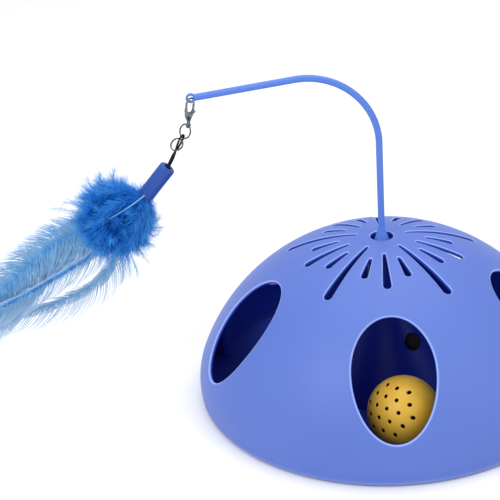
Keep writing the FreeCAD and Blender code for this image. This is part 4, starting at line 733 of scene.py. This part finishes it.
# Sweeps along a route, with a radius that follows a rule
def sweepTree():
    tree, add, given = newTree("taperedSweep", Int=["Sides"], Float=[
        "Radius", "Foot Radius", "Foot Length", "Foot Power", "Tip Share", "Spacing"])
    route = add("MeshToCurve", {"Mesh": given["Geometry"]})[0]
    even = add("ResampleCurve", {"Curve": route, "Length": given["Spacing"]}, mode="LENGTH")[0]
    spline = add("SplineParameter")
    share = calc(add, "DIVIDE", spline["Length"], given["Foot Length"], use_clamp=True)
    bent = calc(add, "POWER", calc(add, "SUBTRACT", 1.0, share), given["Foot Power"])
    extra = calc(add, "SUBTRACT", given["Foot Radius"], given["Radius"])
    taper = remap(add, spline["Factor"], target=(1.0, given["Tip Share"]))
    radius = calc(add, "MULTIPLY_ADD", bent, extra, calc(add, "MULTIPLY", given["Radius"], taper))
    sized = add("SetCurveRadius", {"Curve": even, "Radius": radius})[0]
    closeTree(add, tube(add, sized, ringCurve(add, given["Sides"]), radius), given["Material"])
    return tree


def ringCurve(add, sides, radius=1.0):
    return add("CurvePrimitiveCircle", {"Resolution": sides, "Radius": radius})[0]


def tube(add, line, profile, scale):
    return add("CurveToMesh", {"Curve": line, "Profile Curve": profile, "Fill Caps": True, "Scale": scale})[0]


taperedSweep = sweepTree()


def lineObject(name, routes):  # open lines of points, in millimetres, for a tree to follow
    points, edges = [], []
    for route in routes:
        base = len(points)
        points += route
        edges += [(base + i, base + i + 1) for i in range(len(route) - 1)]
    return meshObject(name, points, [], edges)


def splinePoints(route, steps, order=4):  # a smooth NURBS line with the route as its control points
    curve = bpy.data.curves.new("route", "CURVE")
    curve.dimensions = "3D"
    curve.resolution_u = steps
    spline = curve.splines.new("NURBS")
    spline.points.add(len(route) - 1)
    for point, place in zip(spline.points, route):
        point.co = (*place, 1.0)
    spline.order_u = order
    spline.use_endpoint_u = True
    holder = bpy.data.objects.new("route", curve)
    mesh = bpy.data.meshes.new_from_object(holder)
    found = [vertex.co.copy() for vertex in mesh.vertices]
    bpy.data.objects.remove(holder)
    bpy.data.curves.remove(curve)
    bpy.data.meshes.remove(mesh)
    return found


def swept(name, lines, finish, radius, spacing, sides, foot=None, footLength=1.0, footPower=1.0, tip=1.0):
    made = grown(name, lineObject(name + "_line", lines), taperedSweep, finish, {
        "Radius": radius, "Foot Radius": foot or radius, "Foot Length": footLength, "Foot Power": footPower,
        "Tip Share": tip, "Spacing": spacing, "Sides": sides})
    outward(made.data)
    return made


def washer(hole, radius, half, rounds, steps, axis):  # a flat ring with rounded edges
    corners = [(hole, -half), (radius, -half), (radius, half), (hole, half)]
    return lathe(softened(corners, rounds), steps, axis)


# Wand: flange and trumpet foot, bent rod and eye
wandShape = {"rod": 2.0, "foot": 4.5, "footStart": 96.5, "footLength": 10.5, "footPower": 2.0, "bend": 41.2,
             "bendSteps": 60, "droop": 7.3, "corner": 204.4, "arm": 106.5, "eye": 2.9, "eyeHole": 1.6,
             "eyeHalf": 1.0, "flange": 5.2, "flangeLow": 93.0, "flangeTop": 94.5, "plugHalf": 2.5,
             "plugLength": 14.5, "overlap": (0.02, 0.3, 0.5)}
armAngle = math.radians(wandShape["droop"])
armWay = Vector((-math.cos(armAngle), 0, -math.sin(armAngle)))
eyePlace = Vector((0, 0, wandShape["corner"])) + armWay * wandShape["arm"]


def buildWand(shape):
    foot, flange, low, top = shape["foot"], shape["flange"], shape["flangeLow"], shape["flangeTop"]
    turn = math.pi / 2 + armAngle
    bend = shape["bend"]
    bendStart = shape["corner"] - bend * math.tan(turn / 2)
    seam, plugOverlap, eyeOverlap = shape["overlap"]
    route = [Vector((0, 0, shape["footStart"])), Vector((0, 0, bendStart - 1))]
    for i in range(shape["bendSteps"] + 1):
        angle = turn * i / shape["bendSteps"]
        route.append(Vector((bend * (math.cos(angle) - 1), 0, bendStart + bend * math.sin(angle))))
    route.append(eyePlace - armWay * (shape["eye"] - eyeOverlap))
    rod = swept("wandRod", [route], "wand", shape["rod"], 1.0, 32, foot, shape["footLength"],
                shape["footPower"])
    under = shape["footStart"] + seam
    base = lathe(softened([(0, low), (flange, low), (flange, top), (foot, top), (foot, under), (0, under)],
                          [0, 0.3, 0.4, 0.2, 0, 0], 3), 48)
    eye = washer(shape["eyeHole"], shape["eye"], shape["eyeHalf"], [0.3, 0.6, 0.6, 0.3], 40,
                 Matrix.Translation(eyePlace) @ spin(90, "X"))
    half = shape["plugHalf"]
    plug = prism([Vector((x, y, 0)) for x, y in ((-half, -half), (half, -half), (half, half), (-half, half))],
                 (zAxis * (low - shape["plugLength"]), zAxis * (low + plugOverlap)))
    ends = joinedPieces("wandEnds", [base, eye, plug], "wand")
    crisp(ends.data)
    for piece in (rod, ends):
        hand(piece, "wand_drive", "wand", "wand")


buildWand(wandShape)


# Feathers: a shaft with barbs that leave it at an angle, bend, taper and clump
featherShape = {"hackle": [(0.0, 0.6), (0.12, 0.95), (0.35, 1.0), (0.75, 0.95), (0.93, 0.6), (1.0, 0.15)],
                "down": [(0.0, 0.45), (0.25, 0.9), (0.6, 1.0), (0.85, 0.7), (1.0, 0.25)],
                "thinning": (1.0, 0.12), "middle": (0.34, 0.42), "end": (0.86, 0.5), "flat": 0.16,
                "vary": (0.78, 1.12), "power": 1.7}


def featherTree(name, lengthPoints, roundBarb):
    tree, add, given = newTree(name, Int=["Barbs", "Seed"], Vector=["Vane Normal"], Float=[
        "Start", "Left Length", "Right Length", "Barb Width", "Left Lean", "Right Lean", "Lean Spread",
        "Roll", "Clump Size", "Clump Reach", "Wave Size", "Wave Reach", "Shaft Radius"])

    def marked(geometry, label, value, kind="FLOAT"):
        return add("StoreNamedAttribute", {"Geometry": geometry, "Name": label, "Value": value},
                   data_type=kind, domain="POINT")[0]

    def read(label, kind="FLOAT"):
        return add("InputNamedAttribute", {"Name": label}, data_type=kind)[0]

    def chance(low, high, seed):
        return add("RandomValue", {2: low, 3: high, "Seed": seed}, data_type="FLOAT")[1]

    def turned(rotation, axis, angle):
        step = add("EulerToRotation", {0: add("CombineXYZ", {axis: angle})[0]})[0]
        return add("RotateRotation", {"Rotation": rotation, "Rotate By": step}, rotation_space="LOCAL")[0]

    route = add("MeshToCurve", {"Mesh": given["Geometry"]})[0]
    along = add("SplineParameter")["Factor"]
    thin = remap(add, along, target=featherShape["thinning"])
    # the shaft tapers to a hair
    smooth = add("ResampleCurve", {"Curve": route, "Count": 48}, mode="COUNT")[0]
    shaft = tube(add, marked(smooth, "tip", 0.0), ringCurve(add, 6),
                 calc(add, "MULTIPLY", thin, given["Shaft Radius"]))
    # seats for the barbs along the shaft, where their length follows a curve
    trimmed = add("TrimCurve", {"Curve": route, "Start": given["Start"]}, mode="FACTOR")[0]
    seats = add("ResampleCurve", {"Curve": trimmed, "Count": given["Barbs"]}, mode="COUNT")[0]
    dots = add("CurveToPoints", {"Curve": marked(seats, "along", along)}, mode="EVALUATED")
    position = add("InputPosition")[0]
    rooted = marked(dots["Points"], "root", position, "FLOAT_VECTOR")
    facing = add("AxesToRotation", {"Primary Axis": dots["Tangent"], "Secondary Axis": given["Vane Normal"]},
                 primary_axis="X", secondary_axis="Z")[0]
    lengthRule = add("FloatCurve", {"Value": read("along")})[0]
    curve = lengthRule.node.mapping.curves[0]
    for place, value in lengthPoints[1:-1]:
        curve.points.new(place, value)
    curve.points[0].location = lengthPoints[0]
    curve.points[-1].location = lengthPoints[-1]
    lengthRule.node.mapping.update()
    grownSides = []
    for side, label in ((1, "Left"), (-1, "Right")):
        reach = given[label + " Length"]
        # one barb of unit length, bent towards the feather's tip
        line = add("CurveQuadraticBezier", {
            "Resolution": 5 if roundBarb else 7, "Start": (0, 0, 0),
            "Middle": (featherShape["middle"][0], featherShape["middle"][1] * side, 0),
            "End": (featherShape["end"][0], featherShape["end"][1] * side, 0)})[0]
        wide = calc(add, "MULTIPLY", thin, calc(add, "DIVIDE", given["Barb Width"], reach))
        section = ringCurve(add, 3 if roundBarb else 4, 0.5)
        pressed = add("Transform", {"Geometry": section,
                                    "Scale": (1, 1 if roundBarb else featherShape["flat"], 1)})[0]
        barb = tube(add, marked(line, "tip", along), pressed, wide)
        seed = calc(add, "ADD", given["Seed"], 7.0 + side)
        lean = chance(calc(add, "MULTIPLY", given["Lean Spread"], -1.0), given["Lean Spread"], seed)
        roll = chance(calc(add, "MULTIPLY", given["Roll"], -1.0), given["Roll"], calc(add, "ADD", seed, 31.0))
        leaned = calc(add, "MULTIPLY_ADD", given[label + " Lean"], float(side), lean)
        aim = turned(turned(facing, "X", roll), "Z", leaned)
        sized = calc(add, "MULTIPLY", lengthRule, chance(*featherShape["vary"], seed))
        size = calc(add, "MULTIPLY", sized, reach)
        grownSides.append(add("InstanceOnPoints", {"Points": rooted, "Instance": barb, "Rotation": aim,
                                                   "Scale": size})[0])
    both = add("JoinGeometry", {0: grownSides})[0]
    loose = add("RealizeInstances", {0: both})[0]
    # barbs that grow near each other move together, more towards their tips
    square = calc(add, "POWER", read("tip"), featherShape["power"])
    moves = []
    for source, kind in ((read("root", "FLOAT_VECTOR"), "Clump"), (position, "Wave")):
        often = calc(add, "DIVIDE", 1.0, given[kind + " Size"])
        pattern = add("TexNoise", {"Vector": source, "Scale": often, "Detail": 2.0})["Color"]
        amount = calc(add, "MULTIPLY", square, given[kind + " Reach"])
        moves.append(scaled(add, shifted(add, pattern, (-0.5, -0.5, -0.5)), amount))
    moved = add("SetPosition", {"Geometry": loose, "Offset": shifted(add, *moves)})[0]
    whole = add("JoinGeometry", {0: [moved, shaft]})[0]
    closeTree(add, add("SetShadeSmooth", {"Geometry": whole})[0], given["Material"])
    return tree


hackleTree = featherTree("hackleBarbs", featherShape["hackle"], False)
downTree = featherTree("downBarbs", featherShape["down"], True)


def feather(name, routes, tree, node, slot, finish, values):
    values = {"Vane Normal": (0.0, 1.0, 0.0), **values}
    hand(grown(name, lineObject(name + "_line", routes), tree, finish, values), "lure", slot, node)


layerParts = ("Barbs", "Start", "Left Length", "Right Length", "Left Lean", "Right Lean", "Barb Width")
hackleSet = {  # each layer: a finish and then the values of layerParts
    "hackle_feather_1": {"quill": [(-1.6, -0.9, -12), (-1.8, -0.9, -23), (-7, -2.5, -39), (-16.4, -4, -60),
                                   (-25.3, -4, -75), (-30.2, -4, -94), (-32.5, -4, -117), (-35.5, -4, -146)],
                         "shaft": 0.5, "clump": 4.0, "patch": 8.0, "seed": 11,
                         "layers": [("hackle", 540, 0.22, 15.0, 32.0, 0.36, 0.2, 0.5),
                                    ("hackle_pale", 320, 0.2, 18.0, 44.0, 0.36, 0.04, 0.5)]},
    "hackle_feather_2": {"quill": [(0.2, 1.6, -12), (0.1, 1.5, -23), (0.5, -2, -50), (-3.7, -5, -71),
                                   (-10.0, -8, -86), (-16.1, -8, -103), (-22.4, -8, -120), (-36, -8, -148)],
                         "shaft": 0.95, "clump": 5.0, "patch": 11.0, "seed": 23,
                         "layers": [("hackle_deep", 220, 0.28, 3.5, 6.5, -0.3, -0.25, 0.46),
                                    ("hackle_pale", 150, 0.3, 9.0, 27.0, -0.35, -0.1, 0.42)]},
    "hackle_feather_3": {"quill": [(1.7, -0.9, -12), (1.8, -0.6, -23), (5.7, 2.5, -47), (10.0, 4, -71),
                                   (11.6, 4, -83), (8.2, 4, -97), (1.6, 4, -113), (-9.5, 4, -130),
                                   (-33, 4, -157)],
                         "shaft": 0.5, "clump": 6.0, "patch": 11.0, "seed": 37,
                         "layers": [("hackle_pale", 200, 0.3, 8.0, 11.0, -0.22, -0.14, 0.4),
                                    ("hackle_pale", 170, 0.26, 12.0, 27.0, -0.26, -0.04, 0.36)]},
}


def lureRoutes(routes, steps):
    return [splinePoints([lureFrame @ Vector(point) for point in route], steps) for route in routes]


def buildHackles(feathers):
    for node, shape in feathers.items():
        routes = lureRoutes([shape["quill"]], 12)
        for number, (finish, *growth) in enumerate(shape["layers"]):
            feather("%s_layer_%d" % (node, number + 1), routes, hackleTree, node, "hackle", finish, {
                **dict(zip(layerParts, growth)), "Lean Spread": 0.07, "Roll": 0.12, "Wave Size": 5.0,
                "Wave Reach": 1.2, "Clump Size": shape["patch"],
                "Clump Reach": shape["clump"] * (1 + number * 0.5),
                "Shaft Radius": shape["shaft"] * (1 - number * 0.4), "Seed": shape["seed"] + number})


buildHackles(hackleSet)


# Puff: long plumes from the ferrule's mouth, short tufts all round them, and wisps that stand out
puffShape = {"mouth": 22.0, "mouthRadius": 3.2, "radius": 22.8, "plumes": 34, "tufts": 100, "core": 9.5,
             "ceiling": 0.72, "seed": 5, "fringe": 76, "fringeReach": (21.5, 28.0),
             "wisps": [(-31.7, -3, -50), (-34.6, 2, -58), (-39.0, 4, -66), (-31.0, -6, -44), (-29.0, 2, -34),
                       (-29.0, -4, -28), (-23.0, 5, -22), (-17.0, -5, -20.5), (26.0, -4, -68), (27.0, 3, -59),
                       (20.0, -7, -76), (20.5, 3, -35), (12.0, -9, -74), (24.0, 6, -49), (3.0, -8, -73),
                       (16.0, 2, -74), (23.0, -2, -72), (-33.0, 4, -37)]}
puffKinds = {  # pieces, barbs, their length and width, lean, spread of the lean, shaft radius
    "plume": (2, 130, 10.0, 0.3, 0.1, 0.3, 0.2), "tuft": (3, 60, 10.5, 0.3, 0.05, 0.28, 0.2),
    "wisp": (2, 34, 7.5, 0.17, -0.15, 0.4, 0.12)}
downGrowth = {"Start": 0.1, "Roll": 3.1, "Clump Size": 3.2, "Clump Reach": 5.0, "Wave Size": 2.2,
              "Wave Reach": 2.4}


def puffRoutes(shape):
    chance = random.Random(shape["seed"])
    golden = math.pi * (3 - math.sqrt(5))
    mouth = Vector((0, 0, -shape["mouth"]))
    routes = {"plume": [], "tuft": [], "wisp": []}

    def strayed(reach):
        return Vector([chance.uniform(-reach, reach) for _ in range(3)])

    for i in range(shape["plumes"]):
        share = (i + 0.5) / shape["plumes"]
        lean = math.radians(8 + 112 * share ** 0.8)  # from straight down to a little back over the ferrule
        side = polar(1.0, golden * i + chance.uniform(-0.3, 0.3))
        reach = shape["radius"] * chance.uniform(0.8, 0.98)
        end = puffMiddle + side * reach * math.sin(lean) - zAxis * reach * math.cos(lean)
        start = mouth + side * shape["mouthRadius"] * chance.uniform(0.1, 0.9)
        along = end - start
        bow = side * along.length * 0.16 + zAxis * along.length * 0.05
        routes["plume"].append([start, start - zAxis * 3.0 + side * 0.5, start + along * 0.45 + bow,
                                start + along * 0.8 + bow * 0.6, end])
    for i in range(shape["tufts"]):  # each leans its own way out of the puff's core
        height = 1 - 2 * (i + 0.5) / shape["tufts"]
        out = polar(math.sqrt(1 - height * height), golden * i, height)
        if out.z > shape["ceiling"]:
            continue
        twist = strayed(1) * 0.75 - zAxis * 0.35
        way = (out + twist).normalized()
        start = puffMiddle + out * shape["core"] * chance.uniform(0.5, 1.15)
        reach = chance.uniform(9.5, 14.5)
        bend = way.cross(out).normalized() * chance.uniform(-3.0, 3.0)
        routes["tuft"].append([start, start + way * reach * 0.35 + bend * 0.7,
                               start + way * reach * 0.75 + bend, start + way * reach])
    ends = [Vector(place) for place in shape["wisps"]]
    for i in range(shape["fringe"]):
        height = 0.7 - 1.6 * (i + 0.5) / shape["fringe"]
        out = polar(1.0, golden * i) * math.sqrt(1 - height * height) + zAxis * height
        ends.append(puffMiddle + out * chance.uniform(*shape["fringeReach"]))
    for end in ends:
        start = puffMiddle.lerp(end, 0.45)
        bend = strayed(5)
        routes["wisp"].append([start, start.lerp(end, 0.4) + bend * 0.5, start.lerp(end, 0.8) + bend, end])
    return routes


def buildPuff(shape):
    for kind, routes in puffRoutes(shape).items():
        pieces, barbs, length, width, lean, spread, shaft = puffKinds[kind]
        for number in range(pieces):
            feather("puff_%s_%d" % (kind, number + 1), lureRoutes(routes[number::pieces], 6), downTree,
                    "feather_puff", "down", "down", {
                        **downGrowth, "Barbs": barbs, "Left Length": length, "Right Length": length,
                        "Left Lean": lean, "Right Lean": lean, "Lean Spread": spread, "Barb Width": width,
                        "Shaft Radius": shaft, "Seed": 41 + number})


buildPuff(puffShape)


# A bare quill that lies over the puff, and the ferrule that grips the feathers
quillShape = {"route": [(-1.0, -3.5, -21.0), (-3.5, -10.5, -24.0), (-7.0, -17.0, -29.0),
                        (-10.0, -21.0, -34.5), (-12.5, -22.5, -38.5)], "radius": 0.45, "tip": 0.3}
ferruleShape = {"radius": 4.85, "wall": 0.6, "hole": 2.3, "length": 23.0,
                "rounds": [0.3, 2.0, 0.3, 0.2, 0.5, 0.2]}


def buildFerrule(quill, shape):
    loose = swept("looseQuill", lureRoutes([quill["route"]], 10), "hackle_pale", quill["radius"], 0.8, 8,
                  tip=quill["tip"])
    hand(loose, "lure", "hackle", "feather_puff")
    hole, radius, length = shape["hole"], shape["radius"], shape["length"]
    bore, under = radius - shape["wall"], -2 * shape["wall"]
    ferrule = joinedPieces("ferruleShell", [lathe(softened(
        [(hole, 0), (radius, 0), (radius, -length), (bore, -length), (bore, under), (hole, under)],
        shape["rounds"], 5), 48, lureFrame)], "ferrule")
    crisp(ferrule.data)
    hand(ferrule, "lure", "ferrule", "ferrule")


buildFerrule(quillShape, ferruleShape)


# Clasp: a rounded body with a hook that tapers from it, and the ring at its tail
claspShape = {"place": eyePlace, "tilt": 9.7, "turn": 50.0, "hook": 3.0, "hookSteps": 16, "low": 7.6,
              "wire": 0.5, "foot": 0.95, "thick": 1.15, "tail": -16.5, "tailRadius": 1.7, "tailHole": 0.95,
              "tailHalf": 0.6,
              "outline": [(-3.7, -6.4), (-2.3, -6.6), (-1.3, -8.4), (3.3, -8.4), (3.3, -10.4), (1.3, -13.6),
                          (0.8, -15.2), (-0.8, -15.2), (-1.3, -13.6), (-3.6, -10.2)],
              "corners": [0.7, 0.6, 0.8, 0.8, 1.4, 1.5, 0.5, 0.5, 1.5, 2.4]}


def pillow(outline, half, steps, frame):  # a flat outline swelled to a cushion, its thickness along Y
    middle = Vector((sum(x for x, _ in outline), 0, sum(z for _, z in outline))) / len(outline)
    points, faces = [], []
    for i in range(-steps, steps + 1):
        angle = math.pi / 2 * i / steps
        level = Vector((0, half * math.sin(angle), 0))
        share = 0.3 + 0.7 * math.cos(angle)
        points += [middle + (Vector((x, 0, z)) - middle) * share + level for x, z in outline]
    count = len(outline)
    for row in range(2 * steps):
        for i in range(count):
            k = (i + 1) % count
            faces.append((row * count + i, row * count + k, (row + 1) * count + k, (row + 1) * count + i))
    for row in (0, 2 * steps):
        points.append(middle + Vector((0, half if row else -half, 0)))
        faces += [(row * count + i, row * count + (i + 1) % count, len(points) - 1) for i in range(count)]
    return [frame @ point for point in points], faces


def buildClasp(shape):
    place = frameAt(shape)
    size, steps = shape["hook"], shape["hookSteps"]
    bend = [polar(-size, math.pi * i / steps) for i in range(steps + 1)]
    route = [(-size, -shape["low"])] + [(point.x, -point.y - size) for point in bend] + [(size, -size - 0.6)]
    line = [place @ Vector((x, 0, z)) for x, z in route]
    hook = swept("claspHook", [line], "chrome", shape["wire"], 0.3, 14, shape["foot"], shape["low"], 1.3)
    body = pillow(softened(shape["outline"], shape["corners"]), shape["thick"], 7, place)
    tail = washer(shape["tailHole"], shape["tailRadius"], shape["tailHalf"], [0.25, 0.35, 0.35, 0.25], 28,
                  place @ Matrix.Translation((0, 0, shape["tail"])) @ spin(90, "X"))
    for piece in (hook, joinedPieces("claspEnds", [body, tail], "chrome")):
        hand(piece, "clasp", "chrome", "clasp_body")


buildClasp(claspShape)


# Rings: the jump ring's ends meet at one side; the split ring is two turns of wire
jumpShape = {"place": (-110.498, 0.0, 171.071), "tilt": 30.5, "turn": -44.243, "radius": 4.1, "turns": 0.985,
             "pitch": 0.0, "wire": 0.48, "offset": (0.0, 0.0, 0.0), "tip": 90.0}
splitShape = {"place": (-112.579, 0.0, 167.538), "tilt": 28.5, "turn": -43.68, "radius": 3.8, "turns": 2,
              "pitch": 0.78, "wire": 0.4, "offset": (0.0, -1.606, -4.944), "tip": 65.0}


# Cord loop out of the ferrule, round the jump ring and back: three strands laid round one line
cordShape = {"length": 54.9, "radius": 0.65, "strand": 0.36, "strands": 3, "lay": 5.0,
             "route": [(-0.770, 0.064, -25.186), (0.0, 0.75, -20.3), (0.8, 0.0, -12.0), (0.0, -1.0, -7.0),
                       (0.0, -1.6, 1.5), (0.0, 1.6, 1.5), (0.0, 1.0, -7.0), (-0.8, 0.0, -12.0),
                       (0.0, -0.75, -20.3), (-0.770, -1.536, -25.186)]}


def laidStrands(line, shape):  # each strand's route winds round the cord's line
    lines = [[] for _ in range(shape["strands"])]
    along, across = 0.0, Vector((1, 0, 0))
    for i, point in enumerate(line):
        way = (line[min(i + 1, len(line) - 1)] - line[max(i - 1, 0)]).normalized()
        across = (across - way * across.dot(way)).normalized()
        along += (point - line[max(i - 1, 0)]).length
        for number, strand in enumerate(lines):
            angle = 2 * math.pi * (along / shape["lay"] + number / shape["strands"])
            strand.append(point + (across * math.cos(angle) + way.cross(across) * math.sin(angle))
                          * (shape["radius"] - shape["strand"]))
    return lines


def buildCord(shape, ring):
    place = frameAt(ring)
    line = splinePoints([place @ Vector(point) for point in shape["route"]], 16, 3)
    cord = swept("cordLoop", laidStrands(line, shape), "cord", shape["strand"], 0.35, 8)
    hand(cord, "lure", "cord", "cord_loop")


buildCord(cordShape, splitShape)


def buildRing(name, node, body, shape):
    place = frameAt(shape) @ Matrix.Translation(shape["offset"]) @ spin(shape["tip"], "X")
    steps = round(48 * shape["turns"])
    whole = 2 * math.pi * shape["turns"]
    line = [place @ polar(shape["radius"], whole * i / steps, shape["pitch"] * (i / steps - 0.5))
            for i in range(steps + 1)]
    hand(swept(name, [line], "ring_wire", shape["wire"], 0.4, 12), body, "chrome", node)


buildRing("jumpRing", "jump_ring", "ring", jumpShape)
buildRing("splitRing", "split_ring", "lure", splitShape)


# Floor and light
lightSet = {
    "key": {"place": (-0.9, -1.0, 1.3), "size": 1.1, "power": 10.5},
    "fill": {"place": (1.2, -0.8, 0.9), "size": 1.2, "power": 4.0},
    "top": {"place": (0.1, 0.35, 1.6), "size": 1.6, "power": 13.0},
}
studio = {"aim": (0.0, 0.0, 0.08), "glow": 0.68, "half": 6000}


def addLight(name, values):
    data = bpy.data.lights.new(name, "AREA")
    data.shape = "DISK"
    data.size = values["size"]
    data.energy = values["power"]
    place = Vector(values["place"])
    aimed(data, place, Vector(studio["aim"]) - place)


def addStudio():
    for name, values in lightSet.items():
        addLight(name, values)
    world = bpy.data.worlds.new("studio")
    bpy.context.scene.world = world
    world.use_nodes = True
    background = world.node_tree.nodes["Background"].inputs
    background["Color"].default_value = (1.0, 1.0, 1.0, 1.0)
    background["Strength"].default_value = studio["glow"]
    half = studio["half"]
    corners = [(-half, -half, 0), (half, -half, 0), (half, half, 0), (-half, half, 0)]
    pale = finished("pale_floor", ("#f4f4f5", "#f7f7f8"), 400, 8, (0.7, 0.8), 0.02)
    floor = meshObject("floor", corners, [(0, 1, 2, 3)], material=pale)
    bpy.context.scene.view_settings.view_transform = "Standard"


addStudio()
print("floor and lights set")
